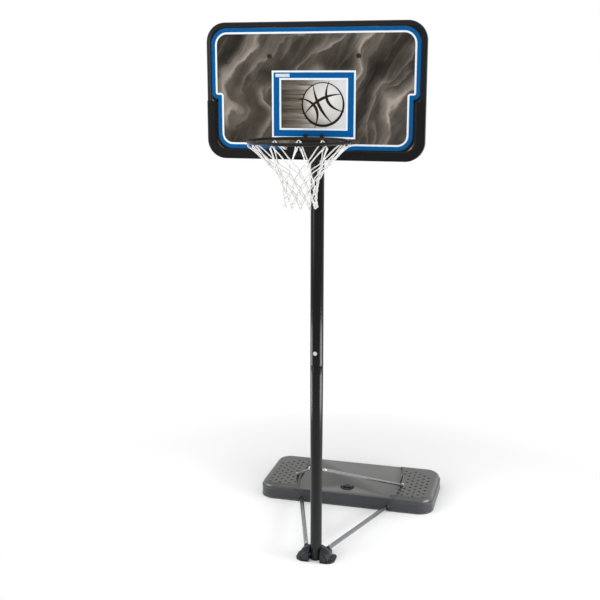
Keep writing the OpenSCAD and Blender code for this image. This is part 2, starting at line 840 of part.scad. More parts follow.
base_tank();
ballast();
fill_cap();
cap_seal();
wheel_carriage();
wheel_left();
wheel_right();
wheel_axle();
axle_caps();
pole_foot();
lower_pole();
middle_pole();
guide_bush_top();
lower_strut_left();
lower_strut_right();
strut_sleeves();
foot_bolts();
upper_strut_left();
upper_strut_right();
pole_strut_bolt();
base_bolts();
base_nuts();
upper_pole();
pole_cap();
guide_bush_bottom();
height_bolt();
height_knob();
board_frame();
board_panel();
edge_pad();
board_crossbar();
crossbar_bolts();
crossbar_nuts();
pole_clamp();
clamp_nuts();
board_bracket();
bracket_bolt();
bracket_nut();
rim_bracket();
rim_brace();
rim_ring();
rim_bolts();
rim_nuts();
net_hooks();
net();
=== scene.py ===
"""Looks of a portable basketball hoop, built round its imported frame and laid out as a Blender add-on.

Each operator makes one piece or one group of like pieces in the frame's own axes. Shapes are worked out
in millimetres, and a piece is scaled to metres when it is made.
"""

import json
import math

import bmesh
import bpy
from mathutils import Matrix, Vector
from mathutils.geometry import tessellate_polygon


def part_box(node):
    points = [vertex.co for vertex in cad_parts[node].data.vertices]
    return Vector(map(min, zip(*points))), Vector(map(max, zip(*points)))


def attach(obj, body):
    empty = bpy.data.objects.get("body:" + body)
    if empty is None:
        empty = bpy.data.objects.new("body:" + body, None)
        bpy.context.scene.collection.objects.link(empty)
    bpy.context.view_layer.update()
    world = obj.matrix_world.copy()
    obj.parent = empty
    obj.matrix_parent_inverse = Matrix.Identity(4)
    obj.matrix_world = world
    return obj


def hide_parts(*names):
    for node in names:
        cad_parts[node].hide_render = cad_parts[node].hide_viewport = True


bl_info = {
    "name": "Portable basketball hoop",
    "version": (1, 0, 0),
    "blender": (4, 5, 0),
    "location": "View3D > Sidebar > Hoop",
    "description": "Builds the finished surfaces of a portable basketball hoop",
    "category": "Object",
}

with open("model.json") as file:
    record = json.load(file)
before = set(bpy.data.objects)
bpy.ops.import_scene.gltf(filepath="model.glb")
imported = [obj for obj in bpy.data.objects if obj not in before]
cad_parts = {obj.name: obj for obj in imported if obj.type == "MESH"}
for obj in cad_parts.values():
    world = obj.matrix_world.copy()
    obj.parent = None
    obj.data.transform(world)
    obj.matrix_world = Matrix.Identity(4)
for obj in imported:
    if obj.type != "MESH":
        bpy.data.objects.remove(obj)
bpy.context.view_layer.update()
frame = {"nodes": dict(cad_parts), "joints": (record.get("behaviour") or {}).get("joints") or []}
MM = 0.001
TURN = 2 * math.pi
FULL = 1000              # millimetres in a metre


# ---- where things are, read from the frame, in millimetres ---------------------

def box_of(node):
    """Lowest and highest corner of a frame node."""
    low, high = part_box(node)
    return low * FULL, high * FULL


PANEL_LOW, PANEL_HIGH = box_of("board_panel")
FRAME_LOW, FRAME_HIGH = box_of("board_frame")
PAD_LOW, PAD_HIGH = box_of("edge_pad")
RING_LOW, RING_HIGH = box_of("rim_ring")
HOOK_LOW, HOOK_HIGH = box_of("net_hooks")
BRACE_LOW, BRACE_HIGH = box_of("rim_brace")
TANK_LOW, TANK_HIGH = box_of("base_tank")
SEAL_LOW, SEAL_HIGH = box_of("cap_seal")
FOOT_LOW, FOOT_HIGH = box_of("wheel_carriage")
WHEEL_LOW, WHEEL_HIGH = box_of("wheel_right")
LOWER_LOW, LOWER_HIGH = box_of("lower_pole")
MIDDLE_LOW, MIDDLE_HIGH = box_of("middle_pole")
UPPER_LOW, UPPER_HIGH = box_of("upper_pole")
BUSH_LOW, BUSH_HIGH = box_of("guide_bush_bottom")
NUT_LOW, NUT_HIGH = box_of("base_nuts")
EYE_LOW, EYE_HIGH = box_of("pole_strut_bolt")
CROSS_LOW, CROSS_HIGH = box_of("crossbar_bolts")
HEIGHT_LOW, HEIGHT_HIGH = box_of("height_bolt")

BOARD_W = FRAME_HIGH.x - FRAME_LOW.x
BOARD_H = FRAME_HIGH.z - PAD_LOW.z
BOARD_Z = (FRAME_HIGH.z + PAD_LOW.z) / 2
FACE_Y = PANEL_LOW.y
DEPTH = FRAME_HIGH.y - FACE_Y
ROD = (RING_HIGH.z - RING_LOW.z) / 2
RING_Z = (RING_HIGH.z + RING_LOW.z) / 2
RING_Y = (RING_HIGH.y + RING_LOW.y) / 2
RING_R = (RING_HIGH.x - RING_LOW.x) / 2 - ROD
TANK_TOP = TANK_HIGH.z
BASE_BOLT = Vector((NUT_HIGH.x - 7.5, (NUT_LOW.y + NUT_HIGH.y) / 2, TANK_TOP))
STRUT_Z = (EYE_LOW.z + EYE_HIGH.z) / 2
WHEEL = (WHEEL_LOW + WHEEL_HIGH) / 2
HEIGHT_Z = (HEIGHT_LOW.z + HEIGHT_HIGH.z) / 2
BASE_TUBE_R = UPPER_HIGH.x - 0.3                   # the lowest tube ends as wide as the upper one
BASE_TUBE_TOP = min(UPPER_LOW.z, BUSH_LOW.z) - 0.6
TRAVEL = next(joint["range_m"][1] for joint in frame["joints"] if joint["name"] == "height_slide") * FULL
STRUT_FRONT = Vector((62, 25, 55))                 # middle line of the right lower strut
STRUT_BACK = Vector((268.2, 697, 25))


def srgb(red, green, blue):
    """Linear colour of an everyday 0 to 255 colour."""
    def linear(value):
        share = value / 255
        return share / 12.92 if share <= 0.04045 else ((share + 0.055) / 1.055) ** 2.4
    return (linear(red), linear(green), linear(blue))


# ---- the user's settings -----------------------------------------------------

def length(name, description, default, lowest, highest):
    """A setting given in millimetres."""
    return bpy.props.FloatProperty(
        name=name, description=description, default=default * MM, min=lowest * MM, max=highest * MM,
        subtype="DISTANCE")


def colour(name, description, *levels):
    """A setting for a colour, given as everyday 0 to 255 levels."""
    return bpy.props.FloatVectorProperty(
        name=name, description=description, default=srgb(*levels), min=0, max=1, size=3, subtype="COLOR")


class HoopBoard(bpy.types.PropertyGroup):
    """Printed lines and colours of the backboard."""
    line_width: length("White line", "Width of the printed white lines", 9, 4, 16)
    band_width: length("Blue band", "Width of the blue band outside the border's white line", 19.5, 8, 22)
    band_colour: colour("Band colour", "Colour of the printed bands", 0, 87, 148)
    smoke_dark: colour("Dark smoke", "Darkest tone of the smoky panel", 26, 22, 16)
    smoke_mid: colour("Smoke", "Main tone of the smoky panel", 78, 70, 61)
    smoke_light: colour("Light smoke", "Tone of the panel's light wisps", 176, 166, 155)


class HoopTank(bpy.types.PropertyGroup):
    """Shape and colour of the base tank."""
    corner: length("Corner radius", "Radius of the tank's corners seen from above", 95, 60, 120)
    shoulder: length("Shoulder", "Rounding of the raised ends' top edges", 26, 10, 34)
    dimple: length("Dimple", "Diameter of one dimple", 17, 6, 20)
    colour: colour("Colour", "Colour of the tank's plastic", 70, 70, 67)


class HoopNet(bpy.types.PropertyGroup):
    """Cord and mesh of the net."""
    cord: length("Cord", "Diameter of the net's cord", 5.4, 3, 8)
    loops: bpy.props.IntProperty(
        name="Loops", description="Number of loops round the ring", default=12, min=8, max=16)
    lean: length("Lean", "How far the net's lower end hangs to one side", 9, 0, 30)


class HoopPole(bpy.types.PropertyGroup):
    """Colours of the painted and plated metal."""
    paint: colour("Pole paint", "Colour of the pole's powder coat", 8, 8, 8)
    strut: colour("Strut metal", "Colour of the struts' plated steel", 132, 134, 136)
    rim: colour("Rim paint", "Colour of the ring and its plates", 30, 26, 23)


class HoopStage(bpy.types.PropertyGroup):
    """Camera and light."""
    camera_place: bpy.props.FloatVectorProperty(
        name="Camera", description="Place of the camera",
        default=(1.196, -4.8349, 2.6), size=3, subtype="TRANSLATION")
    azimuth: bpy.props.FloatProperty(
        name="Azimuth", description="Turn of the camera about the vertical",
        default=math.radians(14.917), subtype="ANGLE")
    pitch: bpy.props.FloatProperty(
        name="Pitch", description="How far the camera looks down",
        default=math.radians(12.778), subtype="ANGLE")
    lens: bpy.props.FloatProperty(
        name="Lens", description="Focal length on a 36 mm sensor", default=58.644, min=10, max=300)
    daylight: bpy.props.FloatProperty(
        name="Daylight", description="Strength of the even light from all round",
        default=0.6, min=0, max=2)


SETTINGS = {"hoop_board": HoopBoard, "hoop_tank": HoopTank, "hoop_net": HoopNet,
            "hoop_pole": HoopPole, "hoop_stage": HoopStage}


# ---- shader maths -------------------------------------------------------------

class Wire:
    """An output socket that takes part in Python expressions; each operator adds a Math node."""

    def __init__(self, shader, socket):
        self.shader = shader
        self.socket = socket

    def math(self, operation, *values):
        inputs = dict(enumerate(values))
        return self.shader.add("ShaderNodeMath", {"operation": operation}, inputs)

    def __add__(self, other):
        return self.math("ADD", self, other)

    __radd__ = __add__

    def __sub__(self, other):
        return self.math("SUBTRACT", self, other)

    def __rsub__(self, other):
        return self.math("SUBTRACT", other, self)

    def __mul__(self, other):
        return self.math("MULTIPLY", self, other)

    __rmul__ = __mul__

    def __truediv__(self, other):
        return self.math("DIVIDE", self, other)

    def __pow__(self, other):
        return self.math("POWER", self, other)

    def sine(self):
        return self.math("SINE", self)

    def fraction(self):
        return self.math("FRACT", self)

    def larger(self, other):
        return self.math("MAXIMUM", self, other)


class Nodes:
    """A node tree, emptied and built anew."""

    def __init__(self, tree):
        self.tree = tree
        tree.nodes.clear()

    def add(self, kind, settings=None, inputs=None, output=0):
        """Adds a node: its settings first, then the value or link of each input named."""
        node = self.tree.nodes.new(kind)
        for key, value in (settings or {}).items():
            if key == "stops":
                self.set_stops(node.color_ramp, value)
            else:
                setattr(node, key, value)
        for key, value in (inputs or {}).items():
            self.feed(node.inputs[key], value)
        return Wire(self, node.outputs[output] if len(node.outputs) else None)

    def feed(self, socket, value):
        if isinstance(value, Wire):
            self.tree.links.new(value.socket, socket)
        elif hasattr(value, "__len__") and len(value) == 3 and socket.type == "RGBA":
            socket.default_value = (*value, 1)
        else:
            socket.default_value = value

    @staticmethod
    def set_stops(ramp, stops):
        while len(ramp.elements) < len(stops):
            ramp.elements.new(1)
        for element, (place, tone) in zip(ramp.elements, stops):
            element.position = place
            element.color = (*tone, 1)

    def seen(self):
        """1 for rays that come straight from the camera, from a mirror or through glass."""
        camera, glossy, through = [self.add("ShaderNodeLightPath", output=ray) for ray in (
            "Is Camera Ray", "Is Glossy Ray", "Is Transmission Ray")]
        return camera.larger(glossy).larger(through)

    def clamp(self, value):
        return self.add("ShaderNodeClamp", None, {0: value})

    def part(self, vector, index):
        """One component of a vector."""
        return self.add("ShaderNodeSeparateXYZ", None, {0: vector}, index)


class Shader(Nodes):
    """One material and its nodes."""

    def __init__(self, name):
        self.material = bpy.data.materials.new(name)
        self.material.use_nodes = True
        super().__init__(self.material.node_tree)

    def place(self, scale=(1, 1, 1), turn=(0, 0, 0)):
        """Place on the piece in metres, in axes turned about its origin and then scaled."""
        where = self.add("ShaderNodeTexCoord", output="Object")
        sizes = tuple(1 / value for value in scale)
        return self.add(
            "ShaderNodeMapping", {"vector_type": "TEXTURE"}, {0: where, "Rotation": turn, "Scale": sizes})

    def axis(self, index):
        """One coordinate of the place on the piece, in metres."""
        return self.part(self.add("ShaderNodeTexCoord", output="Object"), index)

    def noise(self, scale, detail=2.0, roughness=0.5, where=None, twist=0.0):
        return self.add("ShaderNodeTexNoise", None, {
            "Vector": where or self.place(), "Scale": scale, "Detail": detail, "Roughness": roughness,
            "Distortion": twist})

    def ramp(self, value, *stops):
        return self.add("ShaderNodeValToRGB", {"stops": stops}, {0: value})

    def blend(self, share, first, second):
        """Colour between first and second."""
        return self.add("ShaderNodeMix", {"data_type": "RGBA"}, {0: share, 6: first, 7: second}, 2)

    def bump(self, height, depth):
        """Normal of a surface whose relief is height times depth, in metres."""
        return self.add("ShaderNodeBump", None, {"Height": height, "Distance": depth, "Strength": 1.0})

    def surface(self, **sockets):
        """The shader that reflects light; a socket's name has _ for each space."""
        return self.add("ShaderNodeBsdfPrincipled", None, {
            name.replace("_", " "): value for name, value in sockets.items()})

    def close(self, surface):
        self.add("ShaderNodeOutputMaterial", None, {0: surface})
        return self.material

    def finish(self, **sockets):
        return self.close(self.surface(**sockets))


MATERIALS = {}


def finish_of(maker):
    """Makes a finish once and hands the same material out after that."""
    def get():
        if maker.__name__ not in MATERIALS:
            MATERIALS[maker.__name__] = maker()
        return MATERIALS[maker.__name__]
    return get


DARK_GLOSS = 0.15         # specular level of the dark paints and plastics
SHEET_GLOSS = 0.05        # specular level and coat of the clear sheet over the print


def shade(tone, factor):
    """A lighter or darker tone."""
    return tuple(min(1.0, level * factor) for level in tone)


def powder_coat(name, tone, roughness, peel=0.00006, scuff=0.0, gloss=DARK_GLOSS, lower_tone=None):
    """Sprayed paint: fine orange peel and slightly uneven gloss.

    scuff gives pale rubs near the floor, and the last argument is the tone that the paint turns to lower
    down."""
    s = Shader(name)
    grain = s.noise(520, 2)
    cloud = s.noise(3, 2)
    base = s.blend(cloud, shade(tone, 0.93), shade(tone, 1.08))
    # the paint turns greyer towards the floor
    if lower_tone:
        base = s.blend(s.clamp(1 - s.axis(2) / 1.3), base, lower_tone)
    if scuff:
        rubs = s.noise(38, 5, 0.7, s.place((1, 1, 0.25)))
        low = s.clamp(1 - s.axis(2) / 0.4)
        share = s.clamp((rubs - 0.6) * 5 * low * scuff)
        base = s.blend(share, base, srgb(90, 90, 88))
    return s.finish(
        Base_Color=base, Roughness=roughness + 0.06 * (cloud - 0.5), Normal=s.bump(grain, peel),
        Specular_IOR_Level=gloss)


def moulded(name, tone, roughness, grain=0.00012, mottle=0.1, scale=420):
    """Moulded plastic: a fine stipple, faint flow marks and uneven gloss."""
    s = Shader(name)
    stipple = s.noise(scale, 3, 0.6)
    flow = s.noise(5, 4, 0.6, s.place((1, 1, 2.4)))
    dust = s.noise(46, 5, 0.65)
    base = s.blend(flow, shade(tone, 1 - mottle), shade(tone, 1 + mottle))
    base = s.blend(s.clamp((dust - 0.6) * 1.4), base, shade(tone, 1.5))
    return s.finish(
        Base_Color=base, Roughness=roughness + 0.14 * (dust - 0.5), Normal=s.bump(stipple, grain),
        Specular_IOR_Level=DARK_GLOSS)


@finish_of
def pole_paint():
    """Smooth paint with more shine than the other parts', greyer towards the floor."""
    return powder_coat(
        "pole_paint", bpy.context.scene.hoop_pole.paint, 0.16, 0.00001, 0.3, 0.16, srgb(36, 38, 37))


@finish_of
def strut_metal():
    """Plated steel tube with a faintly clouded plating."""
    steel = bpy.context.scene.hoop_pole.strut
    s = Shader("strut_metal")
    cloud = s.noise(16, 4)
    grain = s.noise(420, 3)
    tone = s.blend(cloud, shade(steel, 0.8), shade(steel, 1.15))
    return s.finish(
        Base_Color=tone, Metallic=0.9, Roughness=0.24 + 0.12 * (cloud - 0.5), Normal=s.bump(grain, 0.00003))


@finish_of
def rim_paint():
    return powder_coat("rim_paint", bpy.context.scene.hoop_pole.rim, 0.3)


@finish_of
def bracket_paint():
    return powder_coat("bracket_paint", srgb(20, 20, 20), 0.34)


@finish_of
def frame_plastic():
    return moulded("frame_plastic", srgb(21, 22, 24), 0.3, 0.00004)


@finish_of
def pad_skin():
    return moulded("pad_skin", srgb(9, 9, 10), 0.36, 0.0001, 0.12, 300)


@finish_of
def trim_plastic():
    return moulded("trim_plastic", srgb(20, 20, 20), 0.4, 0.00006)


# RIB_START and RIB_PITCH place the bands of painted shade in the foot's plastic
RIB_START = 20.5          # the first step in the foot's domes, in front of the pole's axis
RIB_PITCH = 9


@finish_of
def foot_plastic():
    """Stippled plastic with painted shade: dark bands in the steps between the domes' ribs."""
    grey = srgb(46, 48, 51)
    s = Shader("foot_plastic")
    stipple = s.noise(420, 3, 0.6)
    dust = s.noise(46, 5, 0.65)
    tone = s.blend(dust, shade(grey, 0.85), shade(grey, 1.2))
    forward = s.axis(1) * -FULL
    step = ((forward - (RIB_START - RIB_PITCH / 4)) * (TURN / RIB_PITCH)).sine()
    # painted shade: the colour darkens in bands where the domes step in, between their ribs
    tone = s.blend(s.clamp((step - 0.3) * 2) * s.clamp(forward - 15), tone, shade(grey, 0.4))
    return s.finish(
        Base_Color=tone, Roughness=0.42 + 0.14 * (dust - 0.5), Normal=s.bump(stipple, 0.0001),
        Specular_IOR_Level=DARK_GLOSS)


@finish_of
def wheel_plastic():
    return moulded("wheel_plastic", srgb(26, 26, 26), 0.5, 0.0001)


@finish_of
def seal_rubber():
    return moulded("seal_rubber", srgb(24, 24, 24), 0.7, 0.00005)


@finish_of
def nylon():
    return moulded("nylon", srgb(228, 226, 216), 0.4, 0.00004, 0.03)


@finish_of
def tank_water():
    s = Shader("water")
    ripple = s.noise(12, 3)
    tone = s.blend(ripple, srgb(120, 150, 165), srgb(150, 178, 190))
    return s.finish(Base_Color=tone, Roughness=0.1 + 0.05 * ripple, Normal=s.bump(ripple, 0.0006))


@finish_of
def tank_plastic():
    """Blow-moulded tank: leathery grain, a soft sheen, and painted shade that turns the walls darker and
    cooler than the tops.
    """
    grey = bpy.context.scene.hoop_tank.colour
    s = Shader("tank_plastic")
    grain = s.noise(300, 3, 0.6)
    swirl = s.noise(9, 5, 0.6, s.place((1, 1.6, 1)), 0.6)
    tone = s.blend(swirl, shade(grey, 0.9), shade(grey, 1.12))
    # painted shade: the less a face points up, the more its colour turns to a dark, cool grey
    up = s.part(s.add("ShaderNodeNewGeometry", output="Normal"), 2)
    tone = s.blend(s.clamp(1 - up * 1.6), tone, srgb(45, 48, 52))
    dust = s.clamp((s.noise(60, 5, 0.7) - 0.58) * 2.2)
    tone = s.blend(dust, tone, shade(grey, 1.5))
    return s.finish(
        Base_Color=tone, Roughness=0.3 + 0.12 * (swirl - 0.5), Normal=s.bump(grain, 0.00014),
        Specular_IOR_Level=0.4)


@finish_of
def zinc_plate():
    s = Shader("zinc_plate")
    cloud = s.noise(60, 3)
    brushed = s.noise(700, 2, 0.5, s.place((1, 1, 0.1)))
    tone = s.blend(cloud, srgb(196, 196, 190), srgb(226, 224, 214))
    return s.finish(
        Base_Color=tone, Metallic=1.0, Roughness=0.26 + 0.14 * (cloud - 0.5), Normal=s.bump(brushed, 0.00002))


@finish_of
def black_steel():
    s = Shader("black_steel")
    cloud = s.noise(90, 3)
    tone = s.blend(cloud, srgb(22, 19, 17), srgb(42, 37, 32))
    return s.finish(
        Base_Color=tone, Metallic=0.6, Roughness=0.38 + 0.16 * (cloud - 0.5),
        Normal=s.bump(s.noise(500), 0.00004))


@finish_of
def smoky_panel():
    """Clear sheet with a smoky print behind it: dark clouds crossed by pale drifting wisps.

    A wisp is sharp on one side and fades out on the other, like a fold of cloth."""
    look = bpy.context.scene.hoop_board
    s = Shader("smoky_panel")
    across = s.axis(0) * 0.86 - s.axis(2) * 0.51
    drift = s.noise(2.3, 2, 0.5) - 0.5
    curl = s.noise(6.5, 4, 0.55, s.place((1, 1, 0.8))) - 0.5
    slant = (0, math.radians(33), 0)
    cloud = s.noise(3.1, 5, 0.6, s.place((1.5, 1, 0.7), slant), 0.5)
    rare = s.noise(3.7, 2, 0.5, s.place((1, 1, 1.2), (0, 0.4, 0)))
    fine = s.noise(9, 6, 0.6, s.place((2.2, 1, 0.36), slant), 0.5)
    tone = s.ramp(cloud, (0.42, look.smoke_dark), (0.6, shade(look.smoke_mid, 0.45)), (0.8, look.smoke_mid))
    profile = [(place, (level,) * 3) for place, level in (
        (0, 1), (0.05, 0.16), (0.4, 0), (0.74, 0.1), (0.94, 0.55), (1, 1))]
    for spacing, bend, ripple, share in ((2.5, 2.4, 0.42, 0.9), (4.3, 3.1, 0.62, 0.6), (7.1, 3.6, 0.9, 0.3)):
        fold = (across * spacing + drift * bend + curl * ripple + 3).fraction()
        edge = s.add("ShaderNodeSeparateColor", None, {0: s.ramp(fold, *profile)})
        here = s.clamp((rare - 0.4) * 5.5)
        rare = 1 - rare
        tone = s.blend(edge * here * share * (0.55 + 0.9 * fine), tone, look.smoke_light)
    tone = s.blend(s.clamp((fine - 0.52) * 0.8), tone, look.smoke_light)
    return s.finish(
        Base_Color=tone, Roughness=0.2 + 0.06 * fine, Coat_Weight=SHEET_GLOSS, Coat_Roughness=0.08,
        Normal=s.bump(s.noise(30, 2), 0.00004), Specular_IOR_Level=SHEET_GLOSS)


def printed(s, tone, roughness):
    """Finish of a print under the sheet's faint gloss."""
    return s.finish(
        Base_Color=tone, Roughness=roughness, Coat_Weight=SHEET_GLOSS, Coat_Roughness=0.1,
        Normal=s.bump(s.noise(400, 2), 0.00001), Specular_IOR_Level=SHEET_GLOSS)


def ink(name, tone):
    """Screen-printed ink, a little uneven in tone."""
    s = Shader(name)
    cloud = s.noise(24, 3)
    base = s.blend(cloud, shade(tone, 0.94), shade(tone, 1.05))
    return printed(s, base, 0.24 + 0.08 * (cloud - 0.5))


@finish_of
def white_ink():
    return ink("white_ink", srgb(232, 238, 244))


@finish_of
def blue_ink():
    return ink("blue_ink", bpy.context.scene.hoop_board.band_colour)


@finish_of
def ball_ink():
    """The printed ball: pale where the light falls on it and smoky towards its lower left edge."""
    s = Shader("ball_ink")
    right = s.axis(0) - (BALL_X + 37) / FULL
    up = s.axis(2) - (BALL_Z + 29) / FULL
    reach = (right * right + up * up) ** 0.5
    grain = s.noise(60, 4)
    share = reach / 0.17 + 0.12 * (grain - 0.5)
    tone = s.ramp(share, (0.0, srgb(226, 226, 224)), (0.62, srgb(198, 196, 192)), (0.86, srgb(136, 129, 119)),
                  (1.0, srgb(84, 76, 66)))
    return printed(s, tone, 0.24 + 0.08 * grain)


@finish_of
def seam_ink():
    return ink("seam_ink", srgb(38, 31, 24))


@finish_of
def surround_ink():
    return ink("surround_ink", srgb(24, 22, 20))


@finish_of
def label_ink():
    return ink("label_ink", srgb(206, 214, 224))


@finish_of
def target_fade():
    """The target's inner field: dark smoke on the left that fades to pale grey, with level streaks."""
    s = Shader("target_fade")
    across = s.axis(0) / 0.34 + 0.5
    streak = s.noise(6, 5, 0.6, s.place((0.6, 1, 9)), 0.3)
    share = s.clamp(across * 1.15 - 0.02 + (streak - 0.5) * (1.1 - across))
    tone = s.ramp(share, (0.0, srgb(66, 60, 51)), (0.36, srgb(112, 105, 96)), (0.62, srgb(176, 173, 168)),
                  (0.85, srgb(206, 207, 207)), (1.0, srgb(214, 216, 218)))
    return printed(s, tone, 0.24 + 0.05 * streak)


@finish_of
def net_cord():
    """White braided cord: the braid runs round and along each cord's own surface, with painted shade that
    darkens its hollows.
    """
    s = Shader("net_cord")
    turn, along = [s.part(s.add("ShaderNodeTexCoord", output="UV"), index) for index in (0, 1)]
    left = (turn * (4 * TURN) + along * TURN).sine()
    right = (turn * (4 * TURN) - along * TURN).sine()
    braid = left * right * 0.5 + 0.5
    fuzz = s.noise(500, 4, 0.7)
    dirt = s.noise(30, 4)
    # painted shade: the colour follows the braid's relief, darker in its hollows
    tone = s.blend(braid, srgb(216, 216, 215), srgb(244, 244, 243))
    tone = s.blend(s.clamp((dirt - 0.55) * 0.8), tone, srgb(190, 186, 178))
    return s.finish(
        Base_Color=tone, Roughness=0.78 + 0.1 * fuzz, Normal=s.bump(braid + fuzz * 0.4, 0.0004))


NODE_FINISHES = {
    smoky_panel: ["board_panel"],
    trim_plastic: ["fill_cap", "pole_cap", "pole_foot", "guide_bush_bottom", "height_knob", "axle_caps",
                   "strut_sleeves"],
    seal_rubber: ["cap_seal"],
    nylon: ["guide_bush_top"],
    wheel_plastic: ["wheel_left", "wheel_right"],
    zinc_plate: ["wheel_axle", "foot_bolts", "pole_strut_bolt", "base_bolts", "base_nuts", "height_bolt",
                 "crossbar_nuts", "pole_clamp", "clamp_nuts", "bracket_bolt", "bracket_nut", "rim_nuts"],
    black_steel: ["crossbar_bolts", "rim_bolts"],
    bracket_paint: ["board_crossbar", "board_bracket"],
    rim_paint: ["rim_bracket", "rim_ring", "net_hooks"],
    pole_paint: ["lower_pole", "upper_pole"],
}
# width in millimetres of the small rounding on the edges of the frame's own nodes
NODE_EDGES = {
    0.5: ["upper_pole", "lower_pole"],
    0.6: ["base_nuts", "crossbar_nuts", "rim_nuts", "clamp_nuts", "bracket_nut", "guide_bush_bottom",
          "foot_bolts"],
    0.8: ["board_crossbar", "board_bracket", "pole_strut_bolt", "base_bolts", "bracket_bolt", "strut_sleeves",
          "axle_caps"],
    1.0: ["rim_bracket", "rim_bolts"],
    1.2: ["fill_cap", "height_knob", "crossbar_bolts"],
    1.4: ["height_bolt"],
    1.5: ["pole_cap"],
}


# ---- mesh helpers ---------------------------------------------------------------

SAME_PLACE = 1e-6         # distance in metres within which points are welded


def link(name, data):
    """A new object in the scene."""
    thing = bpy.data.objects.new(name, data)
    bpy.context.scene.collection.objects.link(thing)
    return thing


def piece(name, shape, material, body, stands_for=(), crease=35, mapped=False):
    """A finished mesh piece that rides on a body, with edges sharper than crease degrees kept sharp."""
    mesh = bpy.data.meshes.new(name)
    mesh.from_pydata([tuple(Vector(p) / FULL) for p in shape.points], [], shape.faces)
    if mapped:
        layer = mesh.uv_layers.new(name="UVMap")
        flat = [value for face in shape.faces for corner in face for value in shape.uvs[corner]]
        layer.data.foreach_set("uv", flat)
    made = bmesh.new()
    made.from_mesh(mesh)
    bmesh.ops.remove_doubles(made, verts=made.verts, dist=SAME_PLACE)
    bmesh.ops.dissolve_degenerate(made, edges=made.edges, dist=SAME_PLACE / 10)
    bmesh.ops.recalc_face_normals(made, faces=made.faces)
    made.to_mesh(mesh)
    made.free()
    mesh.materials.append(material)
    mesh.shade_smooth()
    mesh.set_sharp_from_angle(angle=math.radians(crease))
    thing = link(name, mesh)
    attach(thing, body)
    if stands_for:
        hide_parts(*stands_for)
    return thing


class Builder:
    """Collects points and faces of one piece."""

    def __init__(self):
        self.points = []
        self.faces = []
        self.uvs = []

    def loft(self, rings, closed=True, caps=True, uvs=None):
        """Joins rings of equal length into a skin; closed says that each ring closes on itself."""
        start = len(self.points)
        count = len(rings[0])
        for index, ring in enumerate(rings):
            self.points += [Vector(p) for p in ring]
            self.uvs += uvs[index] if uvs else [(0, 0)] * count
        spans = count if closed else count - 1
        for row in range(len(rings) - 1):
            for col in range(spans):
                a = start + row * count + col
                b = start + row * count + (col + 1) % count
                self.faces.append((a, b, b + count, a + count))
        if caps and closed:
            self.faces.append(tuple(range(start, start + count))[::-1])
            self.lid(count)

    def lid(self, count):
        """Closes the ring of the last count points with one face."""
        last = len(self.points)
        self.faces.append(tuple(range(last - count, last)))

    def plate(self, outline, holes=()):
        """Flat face inside an outline and outside its holes, all given as loops of points."""
        start = len(self.points)
        loops = [[Vector(p) for p in loop] for loop in (outline, *holes)]
        for loop in loops:
            self.points += loop
            self.uvs += [(0, 0)] * len(loop)
        for corners in tessellate_polygon(loops):
            self.faces.append(tuple(start + c for c in corners))

    def box(self, low, high):
        (x0, y0, z0), (x1, y1, z1) = low, high
        ring = [(x0, y0), (x1, y0), (x1, y1), (x0, y1)]
        self.loft([[(x, y, z0) for x, y in ring], [(x, y, z1) for x, y in ring]])

    def tube(self, path, radius, sides=12, closed=False, caps=True, braid=1.0):
        """Round tube along path; radius is one number or one for each point.

        braid is the length along the tube of one repeat of its surface."""
        path = [Vector(p) for p in path]
        radii = radius if hasattr(radius, "__len__") else [radius] * len(path)
        rings, uvs = [], []
        normal = None
        run = 0.0
        count = len(path)
        for i, here in enumerate(path):
            before = path[i - 1] if i or closed else here
            after = path[(i + 1) % count] if i < count - 1 or closed else here
            along = (after - before).normalized()
            if normal is None:
                normal = along.orthogonal().normalized()
            normal = (normal - along * normal.dot(along)).normalized()
            side = along.cross(normal)
            rings.append([here + (normal * a + side * c) * radii[i] for a, c in circle(sides)])
            if i:
                run += (here - path[i - 1]).length
            uvs.append([(k / sides, run / braid) for k in range(sides + 1)])
        if closed:
            run += (path[0] - path[-1]).length
            rings.append(rings[0])
            uvs.append([(k / sides, run / braid) for k in range(sides + 1)])
        start = len(self.points)
        self.loft([ring + ring[:1] for ring in rings], False, False, uvs)
        if caps and not closed:
            for first in (start, len(self.points) - sides - 1):
                self.faces.append(tuple(range(first, first + sides)))


def circle(steps):
    """Points (a, b) on a circle of radius 1."""
    return [(math.cos(TURN * k / steps), math.sin(TURN * k / steps)) for k in range(steps)]


def arc(centre, radius, start, end, steps):
    """Points (a, b) on an arc, angles in degrees."""
    return [(centre[0] + radius * math.cos(math.radians(start + (end - start) * i / steps)),
             centre[1] + radius * math.sin(math.radians(start + (end - start) * i / steps)))
            for i in range(steps + 1)]


def round_rect(width, height, radius, steps=10, breaks=()):
    """Closed loop of a round-cornered rectangle about the origin, anticlockwise from the lower right corner.

    breaks are heights at which the two upright sides get a point of their own."""
    x, y, r = width / 2, height / 2, max(radius, 1e-5)
    loop = arc((x - r, r - y), r, -90, 0, steps)
    loop += [(x, b) for b in sorted(breaks) if r - y < b < y - r]
    loop += arc((x - r, y - r), r, 0, 90, steps)
    loop += arc((r - x, y - r), r, 90, 180, steps)
    loop += [(-x, b) for b in sorted(breaks, reverse=True) if r - y < b < y - r]
    loop += arc((r - x, r - y), r, 180, 270, steps)
    return loop


def ease(share):
    """Goes smoothly from 0 to 1, and stays there outside that range."""
    share = max(0.0, min(1.0, share))
    return share * share * (3 - 2 * share)


def node_material(node, material):
    """Gives a frame node one material."""
    slots = frame["nodes"][node].data.materials
    slots.clear()
    slots.append(material)


def soften(node, width):
    """Rounds the edges of a frame node with modifiers; its own mesh stays as it is."""
    thing = frame["nodes"][node]
    weld = thing.modifiers.new("weld", "WELD")
    weld.merge_threshold = 2e-6
    bevel = thing.modifiers.new("edges", "BEVEL")
    bevel.width = width
    bevel.segments = 2
    bevel.limit_method = "ANGLE"
    bevel.angle_limit = math.radians(40)
    bevel.harden_normals = False
    normals = thing.modifiers.new("normals", "WEIGHTED_NORMAL")
    normals.keep_sharp = True


